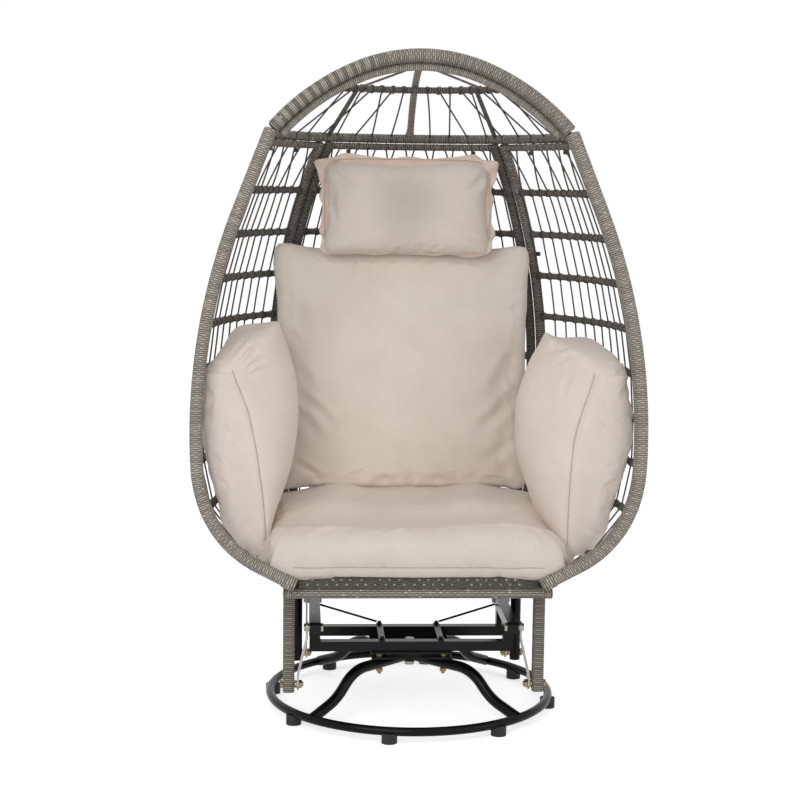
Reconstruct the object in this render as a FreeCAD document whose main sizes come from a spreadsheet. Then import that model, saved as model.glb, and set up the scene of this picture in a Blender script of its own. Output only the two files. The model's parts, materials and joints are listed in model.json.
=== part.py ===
import FreeCAD, Part
import math
import os
import Sketcher
from FreeCAD import Placement, Rotation, Vector

# Pod chair: a woven egg-shaped shell with loose cushions. Four hanging links let it glide,
# and a ball-bearing swivel turns it over a round floor ring.
# +Z is up, the chair faces -Y, and the origin is on the floor under the swivel axis.
# Lengths are in millimetres and angles in degrees.

SIZES = [
    # floor ring, feet and legs
    ("ring_radius", 313.5),
    ("ring_tube", 19.0),
    ("foot_drop", 15.0),
    ("foot_diameter", 33.0),
    ("foot_rise", 22.0),
    ("foot_phase", 11.0),
    ("leg_tube", 24.0),
    ("leg_top_height", 106.0),
    ("leg_knee_radius", 183.0),
    ("leg_shin_radius", 237.0),
    ("leg_shin_height", 52.0),
    ("leg_toe_height", 26.0),
    ("front_leg_angle", 45.0),
    ("rear_leg_angle", 140.0),
    ("hub_diameter", 40.0),
    # swivel
    ("plate_side", 178.0),
    ("plate_thick", 4.0),
    ("bearing_gap", 8.0),
    ("race_inner", 84.0),
    ("race_outer", 120.0),
    ("race_thick", 3.6),
    ("ball_diameter", 4.5),
    ("pin_diameter", 12.0),
    ("plate_bolt_radius", 100.0),
    ("bolt_diameter", 8.0),
    # gliding platform
    ("beam_width", 24.0),
    ("beam_rise", 22.0),
    ("beam_wall", 2.0),
    ("beam_reach", 67.0),
    ("member_width", 24.0),
    ("member_centre", 214.5),
    ("front_pivot_reach", 150.0),
    ("rear_pivot_reach", 110.0),
    ("pivot_height", 207.0),
    ("member_end", 14.0),
    ("strap_offset", 65.5),
    ("strap_width", 14.0),
    ("strap_thick", 3.0),
    ("rod_diameter", 5.0),
    # hanging links
    ("link_length", 126.0),
    ("link_width", 25.0),
    ("link_thick", 4.0),
    ("link_joggle", 19.5),
    ("pivot_bolt", 10.0),
    ("washer_thick", 3.5),
    # seat frame
    ("post_width", 26.0),
    ("front_post_centre", 271.5),
    ("rear_post_tube", 24.0),
    ("rear_post_centre", 253.7),
    ("post_foot_height", 64.0),
    ("rail_tube", 22.5),
    ("rail_height", 308.0),
    ("front_rail_reach", 260.0),
    ("front_rail_half", 284.5),
    ("rear_rail_reach", 170.0),
    ("apron_half", 252.0),
    ("apron_rise", 26.0),
    ("apron_thick", 14.0),
    ("deck_thick", 5.0),
    # shell
    ("hoop_lean", 5.9),
    ("hoop_floor_reach", 316.5),
    ("hoop_thick", 26.0),
    ("hoop_depth", 48.0),
    ("hoop_joint_height", 1277.0),
    ("cap_top_height", 1446.5),
    ("top_rail_tube", 15.5),
    ("top_rail_height", 1245.5),
    ("first_rib_height", 1145.0),
    ("rib_spacing", 95.0),
    ("rib_tube", 15.0),
    ("panel_tube", 22.0),
    ("panel_gap", 1.2),
    ("strand_diameter", 4.0),
    # cap
    ("arch_inner_tube", 16.0),
    ("cap_rail_tube", 21.0),
    ("cap_rail_height", 1264.3),
    ("mid_rib_tube", 15.0),
    ("mid_rib_height", 1366.0),
    # cushions
    ("seat_cushion_width", 632.0),
    ("seat_cushion_depth", 398.0),
    ("seat_cushion_thick", 149.0),
    ("arm_cushion_reach", 457.3),
    ("arm_cushion_depth", 212.0),
    ("arm_cushion_height", 470.0),
    ("back_cushion_width", 540.0),
    ("back_cushion_height", 543.0),
    ("back_cushion_thick", 150.0),
    ("pillow_width", 406.0),
    ("pillow_height", 229.0),
    ("pillow_thick", 105.0),
]

SIDE_STRANDS = 12
BACK_STRANDS = 18
CAP_STRANDS = 11
FOOT_COUNT = 8
BALL_COUNT = 16

FACE_GAP = 0.05
SOFT_GAP = 0.4
RUNNING_GAP = 0.1
SLIVER = 1.0

doc = FreeCAD.newDocument("PodChair")
sheet = doc.addObject("Spreadsheet::Sheet", "Sizes")
for row, (alias, number) in enumerate(SIZES, start=1):
    sheet.set("A%d" % row, alias)
    sheet.set("B%d" % row, str(number))
    sheet.setAlias("B%d" % row, alias)
doc.recompute()

nodes = []


def mm(alias):
    return float(sheet.get(alias))


# Heights of the stacked swivel parts, each from the one below it
PLATE_BASE = mm("leg_top_height") + mm("leg_tube") / 2 + FACE_GAP
RACE_BASE = PLATE_BASE + mm("plate_thick")
UPPER_PLATE_BASE = RACE_BASE + mm("bearing_gap")
BEAM_BASE = UPPER_PLATE_BASE + mm("plate_thick")
BEAM_TOP = BEAM_BASE + mm("beam_rise")
LOWER_PIVOT_HEIGHT = mm("pivot_height") - mm("link_length")
DECK_BASE = mm("rail_height") + mm("rail_tube") / 2 + FACE_GAP
DECK_TOP = DECK_BASE + mm("deck_thick")
LEAN = math.radians(mm("hoop_lean"))


def keep(label, shape, placement=None):
    """A sub-part whose shape is worked out from the sheet's sizes."""
    feature = doc.addObject("Part::Feature", label)
    feature.Label = label
    feature.Shape = shape
    if placement is not None:
        feature.Placement = placement
    nodes.append(feature)
    return feature


def keep_object(feature, label):
    feature.Label = label
    nodes.append(feature)
    return feature


def group(solids):
    return Part.makeCompound(solids) if len(solids) > 1 else solids[0]


def mirrored(shape):
    return shape.mirror(Vector(0, 0, 0), Vector(1, 0, 0))


def both_sides(shape):
    return [shape, mirrored(shape)]


# Shapes made from a path


def circle_face(centre, normal, radius):
    return Part.Face(Part.Wire(Part.makeCircle(radius, centre, normal)))


def swept(path, profile):
    """A solid from a closed profile wire carried along a path of tangent lines and arcs."""
    pipe = path.makePipeShell([profile], True, False)
    return pipe if pipe.ShapeType == "Solid" else pipe.Solids[0]


def tube(edges, diameter):
    path = Part.Wire(edges)
    first = path.OrderedEdges[0]
    start = first.valueAt(first.FirstParameter)
    heading = first.tangentAt(first.FirstParameter)
    ring = Part.Wire(Part.makeCircle(diameter / 2, start, heading))
    return swept(path, ring)


def arc_through(start, middle, end):
    return Part.Arc(start, middle, end).toShape()


def clear_of(solid, others):
    """The solid, trimmed clear of those of the others that it would run into."""
    met = [other for other in others if solid.common(other).Volume > SLIVER]
    if not met:
        return solid
    return max(solid.cut(met).Solids, key=lambda piece: piece.Volume)


def rod(start, end, diameter):
    run = end.sub(start)
    return Part.makeCylinder(diameter / 2, run.Length, start, run)


def trace(start, heading, moves):
    """Tangent lines and arcs in the XZ plane; heading is counted from +X towards +Z."""
    edges = []
    point = Vector(start)
    for move in moves:
        ahead = Vector(math.cos(heading), 0, math.sin(heading))
        if move[0] == "line":
            end = point + ahead * move[1]
            edges.append(Part.makeLine(point, end))
        else:
            radius, turned = move[1], move[2]
            left = Vector(-math.sin(heading), 0, math.cos(heading))
            centre = point + left * radius
            middle_heading = (heading + turned) / 2
            middle = centre + Vector(math.sin(middle_heading), 0, -math.cos(middle_heading)) * radius
            end = centre + Vector(math.sin(turned), 0, -math.cos(turned)) * radius
            edges.append(arc_through(point, middle, end))
            heading = turned
        point = end
    return edges, point, heading


# Parametric bodies


def new_body(label):
    body = doc.addObject("PartDesign::Body", label)
    return keep_object(body, label)


def sketch_on(body, role, name):
    plane = next(item for item in body.Origin.OriginFeatures if item.Role == role)
    sketch = body.newObject("Sketcher::SketchObject", name)
    sketch.AttachmentSupport = [(plane, "")]
    sketch.MapMode = "FlatFace"
    return sketch


def bind(sketch, index, name, expression):
    sketch.renameConstraint(index, name)
    sketch.setExpression("Constraints." + name, expression)


def add_rectangle(sketch, name, width, height):
    """A rectangle about the sketch's origin; width and height are expressions."""
    corners = [Vector(-10, -5), Vector(10, -5), Vector(10, 5), Vector(-10, 5)]
    first = sketch.GeometryCount
    for index in range(4):
        sketch.addGeometry(Part.LineSegment(corners[index], corners[(index + 1) % 4]), False)
    for index in range(4):
        following = first + (index + 1) % 4
        sketch.addConstraint(Sketcher.Constraint("Coincident", first + index, 2, following, 1))
    for index in (0, 2):
        sketch.addConstraint(Sketcher.Constraint("Horizontal", first + index))
        sketch.addConstraint(Sketcher.Constraint("Vertical", first + index + 1))
    sketch.addConstraint(Sketcher.Constraint("Symmetric", first, 1, first + 2, 1, -1, 1))
    wide = sketch.addConstraint(Sketcher.Constraint("DistanceX", first, 1, first, 2, 20.0))
    bind(sketch, wide, name + "_width", width)
    high = sketch.addConstraint(Sketcher.Constraint("DistanceY", first + 1, 1, first + 1, 2, 10.0))
    bind(sketch, high, name + "_height", height)


def add_circle(sketch, name, radius, across="0", along="0"):
    """A circle at an offset from the sketch's origin; all three are expressions."""
    index = sketch.addGeometry(Part.Circle(Vector(3, 2, 0), Vector(0, 0, 1), 1.0), False)
    size = sketch.addConstraint(Sketcher.Constraint("Radius", index, 1.0))
    bind(sketch, size, name + "_radius", radius)
    sideways = sketch.addConstraint(Sketcher.Constraint("DistanceX", -1, 1, index, 3, 3.0))
    bind(sketch, sideways, name + "_across", across)
    upward = sketch.addConstraint(Sketcher.Constraint("DistanceY", -1, 1, index, 3, 2.0))
    bind(sketch, upward, name + "_along", along)


def pad(body, sketch, length):
    feature = body.newObject("PartDesign::Pad", "Pad")
    feature.Profile = sketch
    feature.setExpression("Length", length)
    body.Tip = feature
    return feature


def place(body, across=0.0, along=0.0, up=0.0, rotation=None):
    body.Placement = Placement(Vector(across, along, up), rotation or Rotation())


# Floor ring, feet and legs

ring = doc.addObject("Part::Torus", "base_ring")
ring.setExpression("Radius1", "Sizes.ring_radius")
ring.setExpression("Radius2", "Sizes.ring_tube / 2")
ring.setExpression("Placement.Base.z", "Sizes.foot_drop + Sizes.ring_tube / 2")
keep_object(ring, "base_ring")

RING_HEIGHT = mm("foot_drop") + mm("ring_tube") / 2


def ring_cutter(clearance):
    return Part.makeTorus(mm("ring_radius"), mm("ring_tube") / 2 + clearance, Vector(0, 0, RING_HEIGHT))


def around(angle, radius, height=0.0):
    """A point at an angle counted from the front, -Y, towards +X."""
    turn = math.radians(angle)
    return Vector(radius * math.sin(turn), -radius * math.cos(turn), height)


def build_feet():
    feet = []
    for index in range(FOOT_COUNT):
        spot = around(index * 360.0 / FOOT_COUNT - mm("foot_phase"), mm("ring_radius"))
        block = Part.makeCylinder(mm("foot_diameter") / 2, mm("foot_rise"), spot)
        feet.append(block.cut(ring_cutter(FACE_GAP)))
    keep("rubber_feet", group(feet))


def leg_path():
    """A leg's centreline in the XZ plane, from the hub out along +X and down to the ring."""
    knee = Vector(mm("leg_knee_radius"), 0, mm("leg_top_height"))
    shin = Vector(mm("leg_shin_radius"), 0, mm("leg_shin_height"))
    toe = Vector(mm("ring_radius") - 4.0, 0, mm("leg_toe_height"))
    steep = math.atan2(shin.z - knee.z, shin.x - knee.x)
    flat = math.atan2(toe.z - shin.z, toe.x - shin.x)
    knee_radius = 90.0
    shin_radius = 120.0
    knee_run = knee_radius * math.tan(-steep / 2)
    shin_run = shin_radius * math.tan((flat - steep) / 2)
    start = Vector(mm("hub_diameter") / 2 - 3.0, 0, mm("leg_top_height"))
    moves = [
        ("line", knee.x - knee_run - start.x),
        ("arc", -knee_radius, steep),
        ("line", knee.distanceToPoint(shin) - knee_run - shin_run),
        ("arc", shin_radius, flat),
        ("line", shin.distanceToPoint(toe) - shin_run),
    ]
    return trace(start, 0.0, moves)[0]


def build_legs():
    blank = tube(leg_path(), mm("leg_tube"))
    hub = Part.makeCylinder(mm("hub_diameter") / 2 + FACE_GAP, 2 * mm("leg_top_height"))
    blank = blank.cut(hub).cut(ring_cutter(FACE_GAP))
    blank = max(blank.Solids, key=lambda solid: solid.Volume)
    for name, angle in (("front", mm("front_leg_angle")), ("rear", mm("rear_leg_angle"))):
        for side, sign in (("left", -1), ("right", 1)):
            leg = blank.copy()
            drill = Part.makeCylinder(
                mm("bolt_diameter") / 2 + FACE_GAP, 200, Vector(mm("plate_bolt_radius"), 0, 0)
            )
            leg = leg.cut(drill)
            turn = Rotation(Vector(0, 0, 1), sign * angle - 90)
            keep("leg_%s_%s" % (name, side), leg, Placement(Vector(), turn))


def build_hub():
    base = mm("leg_top_height") - mm("leg_tube") / 2
    boss = Part.makeCylinder(mm("hub_diameter") / 2, mm("leg_tube"), Vector(0, 0, base))
    bore = Part.makeCylinder(mm("pin_diameter") / 2 + FACE_GAP, 200)
    keep("hub_boss", boss.cut(bore))


build_feet()
build_legs()
build_hub()


# Swivel

LEG_ANGLES = (
    mm("front_leg_angle"),
    -mm("front_leg_angle"),
    mm("rear_leg_angle"),
    -mm("rear_leg_angle"),
)


def build_plate(label, height, bolted):
    body = new_body(label)
    sketch = sketch_on(body, "XY_Plane", label + "_outline")
    add_rectangle(sketch, "plate", "Sizes.plate_side", "Sizes.plate_side")
    add_circle(sketch, "pin", "Sizes.pin_diameter / 2 + %g" % RUNNING_GAP)
    if bolted:
        for index, angle in enumerate(LEG_ANGLES):
            turn = math.radians(angle)
            add_circle(
                sketch,
                "bolt%d" % index,
                "Sizes.bolt_diameter / 2 + %g" % FACE_GAP,
                "Sizes.plate_bolt_radius * %.6f" % math.sin(turn),
                "Sizes.plate_bolt_radius * %.6f" % -math.cos(turn),
            )
    pad(body, sketch, "Sizes.plate_thick")
    place(body, up=height)


def build_race(label, base, ball_height):
    outer = Part.makeCylinder(mm("race_outer") / 2, mm("race_thick"), Vector(0, 0, base))
    inner = Part.makeCylinder(mm("race_inner") / 2, mm("race_thick"), Vector(0, 0, base))
    groove = Part.makeTorus(ball_circle(), mm("ball_diameter") / 2 + RUNNING_GAP, Vector(0, 0, ball_height))
    keep(label, outer.cut(inner).cut(groove))


def ball_circle():
    return (mm("race_inner") + mm("race_outer")) / 4


def build_swivel():
    build_plate("swivel_lower_plate", PLATE_BASE, True)
    build_plate("swivel_upper_plate", UPPER_PLATE_BASE, False)
    middle = (RACE_BASE + UPPER_PLATE_BASE) / 2
    build_race("lower_race", RACE_BASE, middle)
    build_race("upper_race", UPPER_PLATE_BASE - mm("race_thick"), middle)
    balls = []
    for index in range(BALL_COUNT):
        spot = around(index * 360.0 / BALL_COUNT, ball_circle(), middle)
        balls.append(Part.makeSphere(mm("ball_diameter") / 2, spot))
    keep("bearing_balls", group(balls))


def hexagon(centre, across_flats, length, axis):
    """A nut or bolt head: a six-sided prism from centre along axis."""
    circumradius = across_flats / math.sqrt(3)
    points = []
    for index in range(7):
        turn = math.radians(60 * index)
        points.append(Vector(circumradius * math.cos(turn), circumradius * math.sin(turn), 0))
    prism = Part.Face(Part.makePolygon(points)).extrude(Vector(0, 0, length))
    prism.Placement = Placement(centre, Rotation(Vector(0, 0, 1), axis))
    return prism


def build_king_pin():
    """The pin holds the plates together: nut under the hub, washer and head over the upper plate."""
    head_base = BEAM_BASE + RUNNING_GAP
    foot = mm("leg_top_height") - mm("leg_tube") / 2 - FACE_GAP
    shank = Part.makeCylinder(mm("pin_diameter") / 2, head_base - foot, Vector(0, 0, foot))
    washer = Part.makeCylinder(mm("pin_diameter"), 2.0, Vector(0, 0, head_base))
    head = hexagon(Vector(0, 0, head_base + 2.0), 19.0, 8.0, Vector(0, 0, 1))
    nut = hexagon(Vector(0, 0, foot), 19.0, 10.0, Vector(0, 0, -1))
    keep("king_pin", shank.fuse([washer, head, nut]).removeSplitter())


def build_plate_bolts():
    bolts = []
    top = RACE_BASE + FACE_GAP
    foot = mm("leg_top_height") - mm("leg_tube") / 2
    for angle in LEG_ANGLES:
        spot = around(angle, mm("plate_bolt_radius"))
        head = hexagon(spot + Vector(0, 0, top), 13.0, 5.0, Vector(0, 0, 1))
        nut = hexagon(spot + Vector(0, 0, foot - 0.6), 13.0, 6.5, Vector(0, 0, -1))
        shank = Part.makeCylinder(mm("bolt_diameter") / 2, top - foot + 12.0, spot + Vector(0, 0, foot - 12.0))
        bolts.append(shank.fuse([head, nut]).removeSplitter())
    keep("plate_bolts", group(bolts))


build_swivel()
build_king_pin()
build_plate_bolts()


# Gliding platform

MEMBER_INNER = mm("member_centre") - mm("member_width") / 2
MEMBER_OUTER = mm("member_centre") + mm("member_width") / 2
MEMBER_BASE = mm("pivot_height") - mm("member_width") / 2
ACROSS = Rotation(Vector(0, 0, 1), Vector(1, 0, 0))


def build_beam(label, along):
    """A square tube across the platform, between the two uprights."""
    body = new_body(label)
    sketch = sketch_on(body, "YZ_Plane", label + "_section")
    add_rectangle(sketch, "outer", "Sizes.beam_width", "Sizes.beam_rise")
    add_rectangle(
        sketch,
        "bore",
        "Sizes.beam_width - 2 * Sizes.beam_wall",
        "Sizes.beam_rise - 2 * Sizes.beam_wall",
    )
    pad(body, sketch, "2 * (Sizes.member_centre - Sizes.member_width / 2 - %g)" % FACE_GAP)
    place(body, FACE_GAP - MEMBER_INNER, along, BEAM_BASE + mm("beam_rise") / 2)


def build_uprights():
    uprights = []
    for along in (-mm("beam_reach"), mm("beam_reach")):
        corner = Vector(MEMBER_INNER, along - mm("beam_width") / 2, BEAM_BASE)
        block = Part.makeBox(mm("member_width"), mm("beam_width"), MEMBER_BASE - BEAM_BASE - FACE_GAP, corner)
        uprights += both_sides(block)
    keep("beam_uprights", group(uprights))


def build_member(label, side):
    """A side tube that carries the upper pivots, with rounded ends."""
    half = mm("member_width") / 2
    front = -mm("front_pivot_reach") - mm("member_end")
    rear = mm("rear_pivot_reach") + mm("member_end")
    corner = Vector(MEMBER_INNER, front, MEMBER_BASE)
    block = Part.makeBox(mm("member_width"), rear - front, mm("member_width"), corner)
    upper = [edge for edge in block.Edges if end_edge(edge, MEMBER_BASE + 2 * half)]
    block = block.makeFillet(0.4 * mm("member_width"), upper)
    for along in (-mm("front_pivot_reach"), mm("rear_pivot_reach")):
        start = Vector(MEMBER_INNER - 5, along, mm("pivot_height"))
        block = block.cut(Part.makeCylinder(mm("pivot_bolt") / 2 + FACE_GAP, 40, start, Vector(1, 0, 0)))
    keep(label, block if side > 0 else mirrored(block))


def end_edge(edge, height):
    """True for the upper edge across either end of a side member."""
    middle = edge.CenterOfMass
    level = abs(middle.z - height) < 1e-6
    return level and abs(edge.tangentAt(edge.FirstParameter).x) > 0.9


def build_straps():
    reach = mm("beam_reach") + mm("beam_width") / 2
    body_width = mm("strap_width")
    straps = []
    bolts = []
    for side in (-1, 1):
        centre = side * mm("strap_offset")
        corner = Vector(centre - body_width / 2, -reach, BEAM_TOP + FACE_GAP)
        strap = Part.makeBox(body_width, 2 * reach, mm("strap_thick"), corner)
        for along in (-mm("beam_reach"), mm("beam_reach")):
            top = Vector(centre, along, BEAM_TOP + 2 * FACE_GAP + mm("strap_thick"))
            bolts.append(Part.makeCylinder(4.5, 7.0, top).fuse(Part.makeCylinder(6.5, 1.5, top)))
        straps.append(strap)
    keep("cross_straps", group(straps))
    keep("strap_bolts", group(bolts))


def build_rods():
    """Thin braces from the rear strap bolts up to the side members."""
    low = Vector(mm("strap_offset") + 6.0, mm("beam_reach") + 1.0, BEAM_TOP + mm("strap_thick") + 5.5)
    high = Vector(MEMBER_INNER - 1.1, mm("rear_pivot_reach") - 20.0, mm("pivot_height") - 8.0)
    keep("brace_rods", group(both_sides(rod(low, high, mm("rod_diameter")))))


LINK_INNER = MEMBER_OUTER + mm("washer_thick")
LINK_OUTER = LINK_INNER + mm("link_thick")


def build_upper_pivots():
    """Bolt, inner head, spacing washer and outer nut at each upper pivot."""
    bolts = []
    outward = Vector(1, 0, 0)
    for along in (-mm("front_pivot_reach"), mm("rear_pivot_reach")):
        spot = Vector(0, along, mm("pivot_height"))
        head_start = spot + outward * (MEMBER_INNER - FACE_GAP)
        head = hexagon(head_start, 16.0, 5.0, Vector(-1, 0, 0))
        nut_start = spot + outward * (LINK_OUTER + RUNNING_GAP)
        nut = hexagon(nut_start, 15.0, 5.0, outward)
        shank = Part.makeCylinder(mm("pivot_bolt") / 2, nut_start.x + 5.4 - head_start.x, head_start, outward)
        washer_start = spot + outward * (MEMBER_OUTER + FACE_GAP)
        washer = Part.makeCylinder(9.0, mm("washer_thick") - 2 * RUNNING_GAP, washer_start, outward)
        bolts += both_sides(shank.fuse([head, nut, washer]).removeSplitter())
    keep("upper_pivot_bolts", group(bolts))


build_beam("front_cross_beam", -mm("beam_reach"))
build_beam("rear_cross_beam", mm("beam_reach"))
build_uprights()
build_member("side_member_left", -1)
build_member("side_member_right", 1)
build_straps()
build_rods()
build_upper_pivots()


# Hanging links


def link_shape(along, joggle):
    """A flat bar on edge: eye, optional step outward, eye."""
    half = mm("link_width") / 2
    thick = mm("link_thick")
    top = mm("pivot_height")
    low = LOWER_PIVOT_HEIGHT
    step = 20.0
    inner = LINK_INNER
    side = [
        Vector(inner, along - half, top + half),
        Vector(inner, along - half, top - step),
        Vector(inner + joggle, along - half, low + step),
        Vector(inner + joggle, along - half, low - half),
    ]
    outline = side + [point + Vector(thick, 0, 0) for point in reversed(side)] + [side[0]]
    bar = Part.Face(Part.makePolygon(outline)).extrude(Vector(0, mm("link_width"), 0))
    reach = joggle + thick + 2
    blank = Part.makeBox(reach, mm("link_width"), top - low, Vector(inner - 1, along - half, low))
    for height in (top, low):
        eye = Vector(inner - 1, along, height)
        blank = blank.fuse(Part.makeCylinder(half, reach, eye, Vector(1, 0, 0)))
    bar = bar.common(blank)
    for height in (top, low):
        eye = Vector(inner - 1, along, height)
        hole = Part.makeCylinder(mm("pivot_bolt") / 2 + RUNNING_GAP, reach, eye, Vector(1, 0, 0))
        bar = bar.cut(hole)
    return bar


def build_links():
    for name, along, joggle in (
        ("front", -mm("front_pivot_reach"), mm("link_joggle")),
        ("rear", mm("rear_pivot_reach"), 0.0),
    ):
        right = link_shape(along, joggle)
        keep("%s_link_left" % name, mirrored(right))
        keep("%s_link_right" % name, right)


build_links()


# Seat frame

RAIL_RADIUS = mm("rail_tube") / 2
RAIL_BASE = mm("rail_height") - RAIL_RADIUS


def rounded_bar(start, end, diameter):
    """A round bar with half-ball ends."""
    ends = [Part.makeSphere(diameter / 2, start), Part.makeSphere(diameter / 2, end)]
    return rod(start, end, diameter).fuse(ends).removeSplitter()


def build_front_posts():
    half = mm("post_width") / 2
    centre = mm("front_post_centre")
    corner = Vector(centre - half, -mm("front_pivot_reach") - half, mm("post_foot_height"))
    post = Part.makeBox(2 * half, 2 * half, RAIL_BASE - FACE_GAP - corner.z, corner)
    upright = [edge for edge in post.Edges if abs(edge.tangentAt(edge.FirstParameter).z) > 0.9]
    post = post.makeFillet(0.35 * half, upright)
    bore_start = Vector(centre - 2 * half, -mm("front_pivot_reach"), LOWER_PIVOT_HEIGHT)
    post = post.cut(Part.makeCylinder(mm("pivot_bolt") / 2 + FACE_GAP, 4 * half, bore_start, Vector(1, 0, 0)))
    keep("front_posts", group(both_sides(post)))


def build_rear_posts():
    """Steel tubes, upright at the pivot and drawn inward under the side rails."""
    radius = mm("rear_post_tube") / 2
    foot = Vector(mm("rear_post_centre"), 0, mm("post_foot_height"))
    bend = math.radians(14)
    bend_radius = 120.0
    straight = mm("pivot_height") + 34.0 - foot.z
    rise = RAIL_BASE + 4.0 - foot.z - straight - 2 * bend_radius * math.sin(bend)
    moves = [
        ("line", straight),
        ("arc", bend_radius, math.pi / 2 + bend),
        ("arc", -bend_radius, math.pi / 2),
        ("line", rise),
    ]
    edges, end, heading = trace(foot, math.pi / 2, moves)
    post = tube(edges, 2 * radius)
    post.translate(Vector(0, mm("rear_pivot_reach"), 0))
    bore_start = Vector(foot.x - 2 * radius, mm("rear_pivot_reach"), LOWER_PIVOT_HEIGHT)
    post = post.cut(Part.makeCylinder(mm("pivot_bolt") / 2 + FACE_GAP, 4 * radius, bore_start, Vector(1, 0, 0)))
    rail = rod(
        Vector(0, mm("rear_pivot_reach"), mm("rail_height")),
        Vector(mm("front_post_centre"), mm("rear_pivot_reach"), mm("rail_height")),
        mm("rail_tube") + 2 * FACE_GAP,
    )
    post = post.cut(rail)
    post = max(post.Solids, key=lambda solid: solid.Volume)
    keep("rear_posts", group(both_sides(post)))


def build_rails():
    height = mm("rail_height")
    half = mm("front_rail_half") - RAIL_RADIUS
    front = -mm("front_rail_reach")
    keep("front_rail", rounded_bar(Vector(-half, front, height), Vector(half, front, height), mm("rail_tube")))
    rear = mm("rear_rail_reach")
    rear_half = mm("front_post_centre") + RAIL_RADIUS
    rear_rail = rod(Vector(-rear_half, rear, height), Vector(rear_half, rear, height), mm("rail_tube"))
    side = rod(
        Vector(mm("front_post_centre"), front + RAIL_RADIUS + FACE_GAP, height),
        Vector(mm("front_post_centre"), rear - RAIL_RADIUS - FACE_GAP, height),
        mm("rail_tube"),
    )
    inner = mm("front_post_centre") - RAIL_RADIUS - FACE_GAP
    cross = rod(
        Vector(-inner, mm("rear_pivot_reach"), height),
        Vector(inner, mm("rear_pivot_reach"), height),
        mm("rail_tube"),
    )
    keep("seat_frame_rails", group([rear_rail, cross] + both_sides(side)))


def build_apron():
    body = new_body("woven_apron")
    sketch = sketch_on(body, "XZ_Plane", "woven_apron_outline")
    add_rectangle(sketch, "apron", "2 * Sizes.apron_half", "Sizes.apron_rise")
    pad(body, sketch, "Sizes.apron_thick")
    along = mm("apron_thick") / 2 - mm("front_rail_reach")
    place(body, 0, along, DECK_BASE + mm("apron_rise") / 2)


def build_deck():
    """Woven seat webbing, laid over the rails behind the apron."""
    front = mm("apron_thick") / 2 - mm("front_rail_reach") + FACE_GAP
    half = mm("front_post_centre") - RAIL_RADIUS
    rear = mm("rear_rail_reach") - RAIL_RADIUS - SOFT_GAP
    deck = Part.makeBox(2 * half, rear - front, mm("deck_thick"), Vector(-half, front, DECK_BASE))
    keep("seat_webbing", deck)


def build_lower_pivots():
    bolts = []
    inner_face = mm("front_post_centre") - mm("post_width") / 2
    link_face = LINK_INNER + mm("link_joggle")
    rear_face = mm("rear_post_centre") - mm("rear_post_tube") / 2
    for along, link_start, post_face, post_depth in (
        (-mm("front_pivot_reach"), link_face, inner_face, mm("post_width")),
        (mm("rear_pivot_reach"), LINK_INNER, rear_face, mm("rear_post_tube")),
    ):
        spot = Vector(0, along, LOWER_PIVOT_HEIGHT)
        outward = Vector(1, 0, 0)
        nut_start = spot + outward * (link_start - RUNNING_GAP)
        nut = hexagon(nut_start, 16.0, 7.0, Vector(-1, 0, 0))
        shank_start = spot + outward * (link_start - 10.0)
        far = post_face + post_depth
        shank = Part.makeCylinder(mm("pivot_bolt") / 2, far - shank_start.x, shank_start, outward)
        head = hexagon(spot + outward * (far + FACE_GAP), 15.0, 5.0, outward)
        washer_start = link_start + mm("link_thick") + RUNNING_GAP
        washer_length = post_face - washer_start - FACE_GAP
        washer = Part.makeCylinder(8.0, washer_length, spot + outward * washer_start, outward)
        join = Part.makeCylinder(mm("pivot_bolt") / 2, 1.0, spot + outward * (far - 0.5), outward)
        bolts += both_sides(shank.fuse([nut, head, washer, join]).removeSplitter())
    keep("lower_pivot_bolts", group(bolts))


build_front_posts()
build_rear_posts()
build_rails()
build_apron()
build_deck()
build_lower_pivots()


# Shell outline

# The hoop's outer edge in its leaning plane: a straight foot, three tangent arcs, a straight top
HOOP_FOOT = Vector(283.0, 0, 330.4)
HOOP_FOOT_ANGLE = math.radians(27.0)
HOOP_FOOT_RUN = 65.0
HOOP_ARCS = ((243.0, 72.45), (300.0, 86.7), (1287.0, 111.3))
HOOP_RUN_IN = 22.0
CAP_CROWN_RADIUS = 358.0
CAP_CROWN_ANGLE = 22.5
CAP_SHOULDER_RADIUS = 493.0


def hoop_path(inset, run_in):
    """The hoop's line, inset from its outer edge, up to the height where the cap begins."""
    ahead = Vector(math.cos(HOOP_FOOT_ANGLE), 0, math.sin(HOOP_FOOT_ANGLE))
    inward = Vector(-math.sin(HOOP_FOOT_ANGLE), 0, math.cos(HOOP_FOOT_ANGLE))
    start = HOOP_FOOT + inward * inset - ahead * run_in
    moves = [("line", HOOP_FOOT_RUN + run_in)]
    for radius, heading in HOOP_ARCS:
        moves.append(("arc", radius - inset, math.radians(heading)))
    edges, point, heading = trace(start, HOOP_FOOT_ANGLE, moves)
    rise = (mm("hoop_joint_height") - point.z) / math.sin(heading)
    top = trace(point, heading, [("line", rise)])
    return edges + top[0], top[1]


def lean_point(point):
    """From the hoop's own plane into the chair's frame."""
    along = point.z * math.sin(LEAN) + point.y * math.cos(LEAN) - mm("hoop_floor_reach")
    return Vector(point.x, along, point.z * math.cos(LEAN) - point.y * math.sin(LEAN))


LEANING = Placement(
    Vector(0, -mm("hoop_floor_reach"), 0), Rotation(Vector(1, 0, 0), -mm("hoop_lean"))
)


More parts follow.
